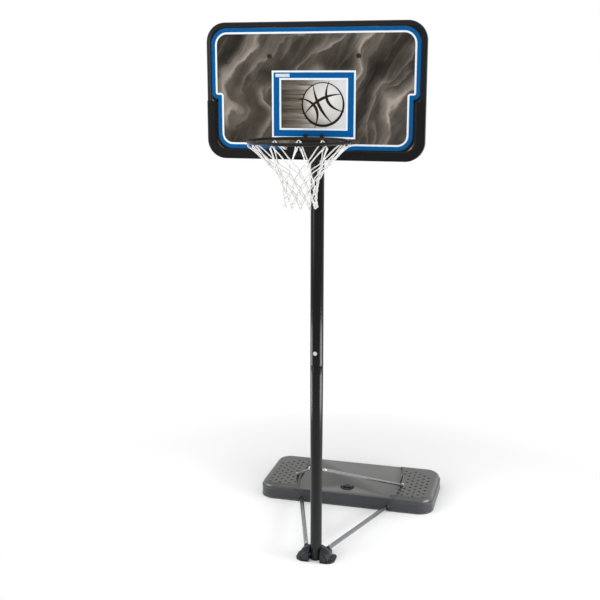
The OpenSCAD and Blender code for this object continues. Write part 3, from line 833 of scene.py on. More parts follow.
def combine(target, tool, operation):
    """Adds the tool piece to the target, or cuts it away, and removes the tool."""
    step = target.modifiers.new(operation.lower(), "BOOLEAN")
    step.operation = operation
    step.solver = "EXACT"
    step.object = tool
    bpy.context.view_layer.update()
    mesh = bpy.data.meshes.new_from_object(target.evaluated_get(bpy.context.evaluated_depsgraph_get()))
    if not len(mesh.polygons):
        raise RuntimeError(f"{target.name}: nothing is left after {operation}")
    target.modifiers.clear()
    old = target.data
    target.data = mesh
    bpy.data.meshes.remove(old)
    old = tool.data
    bpy.data.objects.remove(tool)
    bpy.data.meshes.remove(old)


def settle(thing, node, crease):
    """Shades a combined piece and hides the frame node that it stands for."""
    thing.data.shade_smooth()
    thing.data.set_sharp_from_angle(angle=math.radians(crease))
    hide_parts(node)


def raw(name, builder, material):
    """A closed mesh that is only used to build a piece."""
    return piece(name, builder, material, "stand")


def lathe(builder, profile, centre, axis="z", sides=48):
    """Turns a profile of (radius, height) about an axis through centre."""
    rings = []
    for radius, height in profile:
        ring = []
        for a, b in circle(sides):
            a, b = radius * a, radius * b
            turned = {"z": (a, b, height), "x": (height, a, b), "y": (b, height, a)}[axis]
            ring.append(Vector(centre) + Vector(turned))
        rings.append(ring)
    builder.loft(rings)


def section(width, thick, flat, count=24):
    """Closed section of a crimped tube; flat runs from 0, an ellipse, to 1, a flat bar with round edges."""
    def pinch(value):
        return max(-1.0, min(1.0, value * (1 + 0.9 * flat)))
    return [(thick / 2 * pinch(a), width / 2 * pinch(b)) for a, b in circle(count)]


def eye_of(builder, tube_end, along, radius, bolt, normal, thick, eye):
    """Crimps a tube's end to a flat eye round a bolt; normal is the flat's normal."""
    start = Vector(tube_end)
    to_bolt = Vector(bolt) - start
    flat_dir = (to_bolt - Vector(normal) * to_bolt.dot(normal)).normalized()
    rings = []
    for step in range(9):
        share = step / 8
        run = (Vector(along) * (1 - share) + flat_dir * share).normalized()
        centre = start.lerp(Vector(bolt) - flat_dir * eye * 0.9, share)
        centre -= Vector(normal) * (centre - Vector(bolt)).dot(normal) * ease(share * 1.25)
        side = run.cross(normal).normalized()
        up = side.cross(run)
        wide = radius * 2 + (eye * 2 - radius * 2) * ease(share)
        high = radius * 2 + (thick - radius * 2) * ease(share * 1.25)
        rings.append([centre + up * a + side * b for a, b in section(wide, high, ease(share))])
    side = flat_dir.cross(normal).normalized()
    for step in range(-5, 7):
        angle = step / 6.4 * math.pi / 2
        centre = Vector(bolt) + flat_dir * eye * math.sin(angle)
        wide = 2 * eye * math.cos(angle)
        rings.append([centre + Vector(normal) * a + side * b for a, b in section(wide, thick, 1)])
    builder.loft(rings)


# ---- operators -------------------------------------------------------------------

class HoopOperator:
    """What the operators below share."""
    bl_options = {"REGISTER", "UNDO"}

    def execute(self, context):
        self.build(context.scene)
        return {"FINISHED"}


class HOOP_OT_finishes(HoopOperator, bpy.types.Operator):
    """Gives the frame's own nodes their finishes and softly rounded edges"""
    bl_idname = "hoop.finishes"
    bl_label = "Finishes"

    def build(self, scene):
        for finish, nodes in NODE_FINISHES.items():
            for node in nodes:
                node_material(node, finish())
        for width, nodes in NODE_EDGES.items():
            for node in nodes:
                soften(node, width * MM)


# ---- board frame and pad ---------------------------------------------------------

BOARD_CORNER = 95
PANEL_INSET = PANEL_LOW.x - FRAME_LOW.x
PAD_TOP = PAD_HIGH.z - BOARD_Z      # from the board's middle
PAD_WALL = 6                        # room for the pad round the frame's lower part
SKIN_BACK = 5.5                     # from the board's face to the back of the frame's skin
BOSS_HOLE = 4.4


def board_loop(inset, lower=0.0, steps=14):
    """Outline of the board drawn in by inset, and by lower more beneath the pad's top."""
    breaks = (PAD_TOP - 0.02, PAD_TOP + 0.02)

    def loop(draw):
        return round_rect(BOARD_W - 2 * draw, BOARD_H - 2 * draw, BOARD_CORNER - draw, steps, breaks)
    return [low if low[1] < PAD_TOP else high for low, high in zip(loop(inset + lower), loop(inset))]


class HOOP_OT_board_frame(HoopOperator, bpy.types.Operator):
    """Moulded frame of the board: stepped border, ribbed back and bolt bosses"""
    bl_idname = "hoop.board_frame"
    bl_label = "Board frame"

    # (inset, depth) from the back of the skin round the edge to the rebate of the panel
    PROFILE = [
        (13, SKIN_BACK), (10, 6.2), (8.2, 8.5), (8, DEPTH - 0.8), (7.2, DEPTH), (0.9, DEPTH),
        (0.1, DEPTH - 0.9), (0, 12), (0.3, 8.4), (1.3, 5.4), (3.1, 3.2), (5.4, 1.9), (8, 1.5), (16.2, 1.5),
        (17.0, 1.2), (17.5, 0.4), (18.2, 0.02), (PANEL_INSET - 0.9, 0.02), (PANEL_INSET - 0.2, 0.5),
        (PANEL_INSET, 1.2), (PANEL_INSET, 3.1)]
    UPRIGHT_RIBS = range(-450, 451, 150)
    LEVEL_RIBS = range(-236, 237, 118)

    def build(self, scene):
        b = Builder()
        b.loft([[(x, FACE_Y + depth, BOARD_Z + z) for x, z in board_loop(inset, PAD_WALL)]
                for inset, depth in self.PROFILE])
        wall, padded_wall = 8, 8 + PAD_WALL
        for x in self.UPRIGHT_RIBS:
            self.rib(b, x, x, padded_wall - BOARD_H / 2, BOARD_H / 2 - wall)
        for z in self.LEVEL_RIBS:
            side = BOARD_W / 2 - (wall if z > PAD_TOP else padded_wall)
            self.rib(b, -side, side, z, z)
        bolt = (CROSS_HIGH.z - CROSS_LOW.z) / 2
        for x in (CROSS_LOW.x + bolt, CROSS_HIGH.x - bolt):
            boss = [(BOSS_HOLE, SKIN_BACK - 1), (17.5, SKIN_BACK - 1), (16.4, SKIN_BACK + 1.5),
                    (15.8, DEPTH - 0.6), (15.2, DEPTH), (BOSS_HOLE, DEPTH), (BOSS_HOLE, SKIN_BACK - 1)]
            lathe(b, boss, (x, FACE_Y, (CROSS_LOW.z + CROSS_HIGH.z) / 2), "y", 40)
        wide, tall, middle = 112, 92, RING_Z - 18     # the pad behind the rim's bracket
        rings = []
        for inset, depth in ((-1.5, SKIN_BACK - 1), (0, SKIN_BACK + 1.5), (0.2, DEPTH - 0.8), (1.0, DEPTH)):
            loop = round_rect(wide - 2 * inset, tall - 2 * inset, 10 - inset)
            rings.append([(x, FACE_Y + depth, z + middle) for x, z in loop])
        b.loft(rings)
        piece("board_frame_shell", b, frame_plastic(), "head", ["board_frame"])

    @staticmethod
    def rib(b, x0, x1, z0, z1):
        """A stiffening rib that thins towards its edge."""
        upright = x0 == x1
        rings = []
        for depth, half in ((SKIN_BACK - 0.5, 1.9), (19, 1.35), (20.8, 1.2), (21.4, 0.6)):
            y = FACE_Y + depth
            dx, dz = (half, 0) if upright else (0, half)
            rings.append([(x0 - dx, y, BOARD_Z + z0 - dz), (x1 + dx, y, BOARD_Z + z0 - dz),
                          (x1 + dx, y, BOARD_Z + z1 + dz), (x0 - dx, y, BOARD_Z + z1 + dz)])
        b.loft(rings)


class HOOP_OT_edge_pad(HoopOperator, bpy.types.Operator):
    """Soft pad round the board's lower edge, with a rounded nose and a thin inner lip"""
    bl_idname = "hoop.edge_pad"
    bl_label = "Edge pad"

    # (inset, depth) round the pad's section; depth is negative in front of the board's face
    SECTION = [(5.9, 29.6), (0.8, 29.9), (0, 29.2), (0, 3), (0.3, 0.4), (1.3, -1.7), (3, -3.1), (5.6, -3.85),
               (9, -4), (38, -4), (42.5, -3.8), (45, -3.2), (46.3, -2.2), (46.8, -1.7), (49.4, -1.55),
               (50, -1.1), (50.1, -0.1), (6.1, -0.05), (5.9, 1)]

    # the same, as (height, depth), for the stretch below the net
    LOW_SECTION = [(5.9, 29.6), (0.8, 29.9), (0, 29.2), (0, 3), (0.3, 0.4), (1.3, -1.4), (3, -2), (5, -1.6),
                   (5.9, -0.4)]
    HALF_GAP = 100

    def build(self, scene):
        loops = {inset: board_loop(inset, 0, 18) for inset, depth in self.SECTION}
        # the loop starts at the lower right, and each run starts at the top of a leg
        above = [i for i, (x, z) in enumerate(loops[0]) if z > PAD_TOP]
        right = range(above[0] - 1, -1, -1)
        left = range(above[-1] + 1, len(loops[0]))
        b = Builder()
        for run, side in ((right, 1), (left, -1)):
            rings = [self.ring(loops, i) for i in run]
            b.loft(rings + [[(self.HALF_GAP * side, y, z) for x, y, z in rings[-1]]])
        low = BOARD_Z - BOARD_H / 2
        b.loft([[(x, FACE_Y + y, low + z) for z, y in self.LOW_SECTION]
                for x in (-self.HALF_GAP, self.HALF_GAP)])
        pad = piece("edge_pad_skin", b, pad_skin(), "head", ["edge_pad"])

    def ring(self, loops, index):
        """The pad's section at one point of the board's outline."""
        return [(loops[inset][index][0], FACE_Y + depth, BOARD_Z + loops[inset][index][1])
                for inset, depth in self.SECTION]


# ---- print on the board ------------------------------------------------------------

LINE_TOP = 2816.8                       # middle of the border's white line
LINE_SIDE = 500.5
LINE_STEP = 2524.4                      # height at which the border steps in
LINE_LOW_SIDE = 468.7
LINE_BOTTOM = 2280.3
LINE_GAP = 134                          # half width of the border's opening below the target
TARGET = (207.3, 2313.9, 2632.9)        # half width, lowest and highest middle of the target's outer line
TARGET_INNER = (168.5, 2354.6, 2597.0)  # the same of its inner line
LABEL = (-193, -121, 2606, 2622)        # left, right, bottom and top
BALL_X, BALL_Z, BALL_R = 48, 2476, 104
INK = 0.35                              # thickness of one layer
UNDER = 0.1                             # how far a layer reaches into the sheet


def border_half(offset):
    """Right half of the printed border from bottom to top, moved outward by offset."""
    side, low_side = LINE_SIDE + offset, LINE_LOW_SIDE + offset
    step, top, bottom = LINE_STEP - offset, LINE_TOP + offset, LINE_BOTTOM - offset
    dip = [(LINE_GAP, 34), (142, 27), (150, 20.5), (160, 14), (171, 8.5), (184, 4), (199, 1), (216, 0)]
    loop = [(x, bottom - down) for x, down in dip]
    r = 50 + offset
    loop += arc((low_side - r, bottom + r), r, -90, 0, 12)
    r = max(11 - offset, 0.4)
    loop += arc((low_side + r, step - r), r, 180, 90, 6)
    r = max(7 + offset, 0.4)
    loop += arc((side - r, step + r), r, -90, 0, 6)
    r = 57 + offset
    loop += arc((side - r, top - r), r, 0, 90, 14)
    return loop


def border(offset):
    """The whole printed border, from its left end below the target to its right end."""
    half = border_half(offset)
    return half + [(-x, z) for x, z in reversed(half)]


def print_band(b, inner, outer, closed):
    """A printed band of ink between two lines of points on the board's face."""
    rings = []
    back, front = FACE_Y + UNDER, FACE_Y - INK
    for (x0, z0), (x1, z1) in zip(inner, outer):
        rings.append([(x0, back, z0), (x0, front, z0), (x1, front, z1), (x1, back, z1)])
    if closed:
        rings.append(rings[0])
    b.loft(rings, True, not closed)


def print_stroke(b, line, widths, layer):
    """A printed stroke along a line of (x, z) points, with a half width for each point.

    layer is its thickness in layers of ink, so that crossing strokes don't share a surface."""
    rings = []
    for i, (x, z) in enumerate(line):
        ax, az = line[max(i - 1, 0)]
        bx, bz = line[min(i + 1, len(line) - 1)]
        span = math.hypot(bx - ax, bz - az)
        nx, nz = (az - bz) / span * widths[i], (bx - ax) / span * widths[i]
        back, front = FACE_Y - INK * 0.2, FACE_Y - INK * (layer + 0.15)
        rings.append([(x + nx, back, z + nz), (x + nx, front, z + nz),
                      (x - nx, front, z - nz), (x - nx, back, z - nz)])
    b.loft(rings)


def rectangle(size, out):
    """Corners of the target's rectangle of this size (half width, bottom, top), moved outward by out."""
    half, low, high = size
    half, low, high = half + out, low - out, high + out
    return [(half, low), (half, high), (-half, high), (-half, low)]


def print_piece(name, b, material):
    """A printed layer on the board's sheet."""
    piece(name, b, material, "head")


class HOOP_OT_board_print(HoopOperator, bpy.types.Operator):
    """Printed lines, bands and the picture of a ball, as thin layers of ink on the board's face"""
    bl_idname = "hoop.board_print"
    bl_label = "Board print"

    def build(self, scene):
        look = scene.hoop_board
        line = look.line_width / 2 * FULL
        band = look.band_width * FULL
        b = Builder()
        print_band(b, border(-line), border(line), False)
        for size in (TARGET, TARGET_INNER):
            print_band(b, rectangle(size, -line), rectangle(size, line), True)
        print_piece("board_lines", b, white_ink())
        b = Builder()
        print_band(b, border(line), border(line + band), False)
        print_band(b, rectangle(TARGET_INNER, line), rectangle(TARGET, -line), True)
        print_piece("board_bands", b, blue_ink())
        self.surround(line + band)
        half, low, high = TARGET_INNER
        b = Builder()
        b.box((line - half, FACE_Y - INK * 0.5, low + line), (half - line, FACE_Y + UNDER, high - line))
        print_piece("target_field", b, target_fade())
        left, right, low, high = LABEL
        b = Builder()
        b.box((left, FACE_Y - INK - 0.15, low), (right, FACE_Y - INK + UNDER, high))
        print_piece("label_field", b, label_ink())
        self.ball()
        self.seams()

    @staticmethod
    def surround(start):
        """Dark print outside the bands and in the opening below the target."""
        low, high = PANEL_LOW + Vector((1, 0, 1)), PANEL_HIGH - Vector((1, 0, 1))
        edge = [(max(low.x, min(high.x, x)), max(low.z, min(high.z, z))) for x, z in border(start + 14)]
        b = Builder()
        print_band(b, border(start), edge, False)
        b.box((-LINE_GAP, FACE_Y - INK * 0.6, low.z), (LINE_GAP, FACE_Y + UNDER, LINE_BOTTOM - 10))
        print_piece("board_surround", b, surround_ink())

    @staticmethod
    def ball():
        b = Builder()
        ring = arc((0, 0), BALL_R, 0, 360, 72)[:-1]
        b.loft([[(BALL_X + x, y, BALL_Z + z) for x, z in ring] for y in (FACE_Y + UNDER, FACE_Y - INK * 0.8)])
        print_piece("ball_print", b, ball_ink())

    @staticmethod
    def seams():
        """Outline and usual seams of a ball that is seen from the side, and strokes of speed behind it."""
        turn = [TURN * k / 72 for k in range(73)]
        outline = [(BALL_R * math.cos(q), BALL_R * math.sin(q)) for q in turn]
        heavy = [2.3 + 4.2 * (0.5 + 0.5 * math.cos(q - math.radians(250))) for q in turn]
        steps = 36
        spans = [2 * k / steps - 1 for k in range(steps + 1)]
        swell = [1.5 + 5.6 * math.sin(math.pi * k / steps) ** 1.3 for k in range(steps + 1)]
        strokes = [(outline, heavy), ([(t * BALL_R, 26 * (1 - t * t)) for t in spans], swell),
                   ([(-20 * (1 - t * t), t * BALL_R) for t in spans], swell)]
        for side in (-1, 1):
            strokes.append(([(side * (34 + 50 * t * t) - 6, t * BALL_R * 0.79) for t in spans], swell))
        b = Builder()
        c, d = math.cos(math.radians(28)), math.sin(math.radians(28))
        for index, (line, widths) in enumerate(strokes):
            turned = [(BALL_X + x * c - z * d, BALL_Z + x * d + z * c) for x, z in line]
            print_stroke(b, turned, widths, 1 + 0.12 * index)
        shares = [i / 12 for i in range(13)]
        for k in range(9):
            rise = 23 * k - 92
            start = BALL_X - math.sqrt(BALL_R * BALL_R - rise * rise) + 4
            reach = 60 + 38 * math.sin(k * 2.4 + 0.6)
            bend = 5 * math.sin(k * 1.7)
            thick = 1.6 + 0.8 * math.sin(k * 4.1)
            line = [(start - reach * t, BALL_Z + rise + bend * t * t) for t in shares]
            print_stroke(b, line, [0.3 + thick * (1 - t) for t in shares], 0.75)
        print_piece("ball_seams", b, seam_ink())


# ---- rim and net ---------------------------------------------------------------------

HOOKS = 12
HOOK_BEND = 7             # from a hook's middle to each end of its wire
BRAID = 7.0               # length of one repeat of the cord's braid
# (depth below the ring, radius) of the net's rows of knots
NET_ROWS = [(0, 236), (104, 146), (148, 106), (190, 88), (229, 77), (267, 75), (305, 80)]


class HOOP_OT_rim(HoopOperator, bpy.types.Operator):
    """Ring of bent rod, its weld beads, and the tapered brace below the bracket"""
    bl_idname = "hoop.rim"
    bl_label = "Rim"

    def build(self, scene):
        b = Builder()
        b.tube([(RING_R * x, RING_Y + RING_R * y, RING_Z) for x, y in circle(160)], ROD, 28, closed=True)
        piece("ring_rod", b, rim_paint(), "head", ["rim_ring"], 60)
        self.brace()
        welds = Builder()
        for k in range(HOOKS):
            for side in (-1, 1):
                at = TURN * (k + 0.5) / HOOKS + side * (HOOK_BEND / RING_R)
                x, y = RING_R * math.cos(at), RING_Y + RING_R * math.sin(at)
                self.bead(welds, [(x + 3.2 * math.cos(q), y + 3.2 * math.sin(q),
                                   RING_Z - ROD + 0.2 + 0.5 * math.cos(q * 2))
                                  for q in (TURN * i / 10 for i in range(10))], 1.3)
        out, under = RING_R + ROD * 0.75, RING_Z - ROD + 1.2
        for side in (-1, 1):
            across = [side * (12 + 24 * i / 25) for i in range(26)]
            self.bead(welds, [(x, RING_Y + math.sqrt(out ** 2 - x * x), under) for x in across], 2.2)
        piece("weld_beads", welds, rim_paint(), "head", crease=80)

    @staticmethod
    def bead(b, path, radius):
        """A weld bead: a short run of overlapping ripples."""
        radii = [radius * (0.82 + 0.18 * math.sin(i * 2.1)) for i in range(len(path))]
        radii[0] = radii[-1] = radius * 0.4
        b.tube(path, radii, 8)

    @staticmethod
    def brace():
        """A pressed trough that tapers to a round lower end and grows deeper towards the ring."""
        top, back = BRACE_HIGH.z, BRACE_HIGH.y
        half, end = 46, 34
        end_z = BRACE_LOW.z + end
        deep = back - BRACE_LOW.y

        def loop(inset, drop):
            """Tapered outline with a round lower end, drawn in by inset."""
            r = end - inset
            corner = Vector((half - inset, top - drop - end_z))
            lean = math.degrees(math.atan2(corner.y, corner.x) - math.acos(r / corner.length))
            return [(corner.x, corner.y)] + arc((0, 0), r, lean, -180 - lean, 28) + [(-corner.x, corner.y)]
        b = Builder()
        rings = []
        for inset, drop, share in (
                (4.6, 4.2, 0.86), (3, 3, 0.8), (3, 3, 0), (2.6, 2.6, 0), (0.4, 0.2, 0), (0, 0, 0.02),
                (0, 0, 0.86), (0.35, 0.2, 0.93), (1.3, 0.8, 0.98), (3, 2, 1.0)):
            ring = []
            for x, z in loop(inset, drop):
                depth = 8 + (deep - 8) * max(0.0, min(1.0, z / (top - end_z)))
                ring.append((x, back - depth * share, end_z + z))
            rings.append(ring)
        b.loft(rings)
        piece("brace_trough", b, rim_paint(), "head", ["rim_brace"])


class HOOP_OT_net(HoopOperator, bpy.types.Operator):
    """Knotted net of braided cord: doubled strands at the ring, then diamonds down to a row of tips"""
    bl_idname = "hoop.net"
    bl_label = "Net"

    def build(self, scene):
        self.look = scene.hoop_net
        self.count = self.look.loops
        self.radius = self.look.cord / 2 * FULL
        self.rows = len(NET_ROWS) - 1
        self.nodes = {(row, col): self.node(row, col) for row in range(1, self.rows + 1)
                      for col in range(2 * self.count) if (row + col) % 2}
        b = Builder()
        for loop in range(self.count):
            self.doubled(b, 2 * loop + 1)
            self.strand(b, 2 * loop + 2)
        for (row, col), place in self.nodes.items():
            self.knot(b, row, place)
        piece("net_mesh", b, net_cord(), "head", ["net"], 60, True)

    def wobble(self, row, col, kind):
        """A small repeatable unevenness from -1 to 1."""
        return math.sin(row * 12.9898 + col * 78.233 + kind * 37.719) * math.cos(row * 4.1 + col * 9.7 + kind)

    def place(self, turn, depth, radius):
        """Point of the net: turn in half columns, depth below the ring, radius about its axis."""
        angle = TURN * turn / (2 * self.count)
        lean = self.look.lean * FULL * ease(depth / 300)
        return Vector((radius * math.cos(angle) + lean, RING_Y + radius * math.sin(angle), RING_Z - depth))

    def node(self, row, col):
        depth, radius = NET_ROWS[row]
        return self.place(col + 0.16 * self.wobble(row, col, 1), depth + 2.2 * self.wobble(row, col, 2),
                          radius + 2.0 * self.wobble(row, col, 3))

    def between(self, start, end, bulge, steps, side=0.0, steep=0.05):
        """Points from start to end; steep bends their fall, and they bow out by bulge and aside by side."""
        points = []
        axis = Vector((self.look.lean * FULL * 0.5, RING_Y, 0))
        for i in range(steps + 1):
            t = i / steps
            p = start.lerp(end, t)
            p.z = start.z + (end.z - start.z) * (t + steep * math.sin(TURN * t))
            out = Vector((p.x - axis.x, p.y - axis.y, 0)).normalized()
            swell = math.sin(math.pi * t)
            across = (end - start).cross(out).normalized()
            points.append(p + out * bulge * swell + across * side * swell ** 0.6)
        return points

    def doubled(self, b, col):
        """Two cords over one hook, each down to the knots on both sides of it."""
        size = 2 * self.count
        left, right = [self.nodes[(1, (col + step) % size)] for step in (-1, 1)]
        turn = TURN * col / size
        out = Vector((math.cos(turn), math.sin(turn), 0))
        across = Vector((-math.sin(turn), math.cos(turn), 0))
        hook = Vector((0, RING_Y, HOOK_LOW.z + 4.2 + self.radius)) + out * RING_R
        for way in (-1, 1):
            middle = hook + out * (2.9 * way)
            crest = [middle + across * (5.2 * math.cos(q)) + Vector((0, 0, 4.0 * math.sin(q) - 3.5))
                     for q in (math.pi * k / 8 for k in range(9))]
            legs = []
            for top, side, knot in ((crest[0], 1, right), (crest[-1], -1, left)):
                elbow = hook + across * (side * 10 + 2.9 * way) + out * way - Vector((0, 0, 13))
                bend = [top.lerp(elbow, t) + across * (side * 1.2 * math.sin(math.pi * t))
                        for t in (0.33, 0.67)]
                legs.append(bend + self.between(elbow, knot, -3, 10, 1.6 * way, -0.02))
            b.tube(legs[0][::-1] + crest + legs[1], self.radius, 10, braid=BRAID)

    def strand(self, b, start):
        """One cord from a first-row knot down to a tip and up again on the other side."""
        size = 2 * self.count
        path = []
        for row in range(1, self.rows):
            here = self.shifted(row, (start + row - 1) % size, 1)
            below = self.shifted(row + 1, (start + row) % size, 1)
            path += self.between(here, below, 2.5, 7)[:-1]
        tip = (start + self.rows - 1) % size
        centre = self.nodes[(self.rows, tip)]
        across = Vector((RING_Y - centre.y, centre.x, 0)).normalized()
        path = path[:-1]
        for q in range(7):
            turn = math.pi * (q / 6)
            path.append(centre + across * (-4.2 * math.cos(turn)) + Vector((0, 0, -5.5 * math.sin(turn))))
        up = []
        for row in range(1, self.rows):
            col = (tip + (self.rows - row)) % size
            here = self.shifted(row, col, -1)
            below = self.shifted(row + 1, (col - 1) % size, -1)
            up += self.between(here, below, 2.5, 7)[:-1]
        path += up[:-1][::-1]
        b.tube(path, self.radius, 10, braid=BRAID)

    def shifted(self, row, col, way):
        """A knot's place moved out or in, so that crossing cords pass over each other."""
        point = self.nodes[(row, col)]
        out = Vector((point.x, point.y - RING_Y, 0)).normalized()
        return point + out * (self.radius * 0.8 * way * (1 if row % 2 else -1))

    def knot(self, b, row, point):
        """Turns of cord round a crossing."""
        out = Vector((point.x, point.y - RING_Y, 0)).normalized()
        across = out.cross(Vector((0, 0, 1)))
        turns = ((0.5, 3.0), (-0.5, -2.2)) if row > 1 else ((0.5, 4.5), (-0.5, 0), (0.5, -4.0))
        for lean, lift in turns:
            ring = [point + across * (1.55 * self.radius * x) + out * (2.0 * self.radius * y)
                    + Vector((0, 0, lift * 0.9 + lean * 3.0 * x)) for x, y in circle(14)]
            b.tube(ring, self.radius * 0.8, 8, closed=True, braid=BRAID)


# ---- pole and struts -------------------------------------------------------------------

HOLES = 6                 # heights that the pole can be bolted at
WALL = 1.8                # thickness of the lower tubes' steel


def pole_tube(name, profile, body, node):
    """An upright tube about the pole's axis, from a closed profile of (radius, height)."""
    b = Builder()
    lathe(b, profile + profile[:1], (0, 0, 0), "z", 64)
    return piece(name, b, pole_paint(), body, [node])


class HOOP_OT_pole(HoopOperator, bpy.types.Operator):
    """The pole's three tubes; the middle one has a row of real holes for the height bolt"""
    bl_idname = "hoop.pole"
    bl_label = "Pole"

    def build(self, scene):
        self.upper_tube(UPPER_HIGH.x, UPPER_LOW.z, UPPER_HIGH.z)
        self.lower_tube(MIDDLE_HIGH.x, LOWER_LOW.z, BASE_TUBE_TOP)
        self.middle_tube(MIDDLE_HIGH.x, BASE_TUBE_TOP - 4, MIDDLE_HIGH.z)

    @staticmethod
    def upper_tube(r, low, high):
        pole_tube("pole_upper_tube", [
            (r - 2, low), (r - 0.6, low), (r, low + 0.6), (r, high - 0.6), (r - 0.6, high), (r - 2, high)],
            "head", "upper_pole")

    @staticmethod
    def lower_tube(r, low, high):
        """The lowest tube: it widens above the strut bolt and ends in a rounded shoulder."""
        wide, bolt = BASE_TUBE_R, STRUT_Z
        pole_tube("pole_lower_tube", [
            (r - WALL, low), (r - 0.5, low), (r, low + 0.6), (r, bolt + 30), (r + 1.2, bolt + 110),
            (wide - 0.5, bolt + 330), (wide, bolt + 450), (wide, high - 2.4), (wide - 0.4, high - 1.1),
            (wide - 1.1, high - 0.3), (wide - 2, high), (r + 0.1, high), (r + 0.1, high - 4),
            (r - WALL, high - 4)], "stand", "lower_pole")

    @staticmethod
    def middle_tube(r, low, high):
        """The tube that the upper one slides on; its plug reaches down into the lowest tube."""
        plug = MIDDLE_LOW.z
        tube = pole_tube("pole_middle_tube", [
            (r - 2 * WALL, plug), (r - 2, plug), (r - 2, low), (r - 0.4, low + 0.2), (r, low + 1.2),
            (r, high - 0.6), (r - 0.6, high), (r - WALL, high), (r - WALL, low + 6), (r - 2 * WALL, low)],
            "stand", "middle_pole")
        holes = Builder()
        for k in range(HOLES):
            lathe(holes, [(4.5, -r - 5), (4.5, r + 5)], (0, 0, HEIGHT_Z + TRAVEL * k / (HOLES - 1)), "y", 20)
        combine(tube, raw("pole_holes", holes, pole_paint()), "DIFFERENCE")
        tube.data.set_sharp_from_angle(angle=math.radians(35))


class HOOP_OT_struts(HoopOperator, bpy.types.Operator):
    """Four round struts with crimped flat ends"""
    bl_idname = "hoop.struts"
    bl_label = "Struts"

    def build(self, scene):
        for side, name in ((-1, "left"), (1, "right")):
            turned = Vector((side, 1, 1))
            self.upper(side, turned, name)
            self.lower(turned, name)

    @staticmethod
    def upper(side, turned, name):
        """From the bolt through the pole down to the tank's top."""
        pole_r, radius, crimp, thick = MIDDLE_HIGH.x, 8, 24, 3.8
        top = Vector((pole_r + 6, 42, STRUT_Z - 20)) * turned
        foot = Vector((BASE_BOLT.x - 6, BASE_BOLT.y - 18, TANK_TOP + 8.3)) * turned
        along = (foot - top).normalized()
        start, end = top + along * crimp, foot - along * crimp
        b = Builder()
        b.tube([start, end], radius, 24, caps=False)
        eye_of(b, start, -along, radius, (side * (pole_r + 2.2), 0, STRUT_Z), Vector((side, 0, 0)), thick, 10)
        eye_of(b, end, along, radius, BASE_BOLT * turned + Vector((0, 0, 2)), Vector((0, 0, 1)), thick, 11)
        piece("strut_upper_" + name, b, strut_metal(), "stand", ["upper_strut_" + name])

    @staticmethod
    def lower(turned, name):
        """From the foot's cradle along its tunnel under the tank to the same bolt."""
        front, back, radius = STRUT_FRONT * turned, STRUT_BACK * turned, 12.5
        along = (back - front).normalized()
        end = back + along * 120
        b = Builder()
        b.tube([front + along * 2, front + along * 40, end], radius, 28)
        bolt = Vector((BASE_BOLT.x, BASE_BOLT.y, 16.5)) * turned
        eye_of(b, end, along, radius, bolt, Vector((0, 0, 1)), 4.8, 13)
        piece("strut_lower_" + name, b, strut_metal(), "stand", ["lower_strut_" + name])


# ---- base tank ----------------------------------------------------------------------------

DECK_TOP = 86
DECK_HALF = 312           # half length of the deck, which ends inside the raised ends
LEDGE_Z = 64              # height of the ledge below the raised ends' shoulder
WATER_GAP = 9             # how far the water's outline is drawn in from its frame node
WALL_INSET = 1.8          # how far the walls stand in from the rims above and below them
TUNNEL = 16.3             # radius of a strut's tunnel
FIRST_COLUMN = 328        # the dimples' pattern: its first column, the first rows of even and odd columns,
FIRST_ROWS = (767, 741.6) # the steps between columns and rows, and the room kept free round a bolt
COLUMN_STEP = 31.6
ROW_STEP = 50.4
BOLT_ROOM = 26


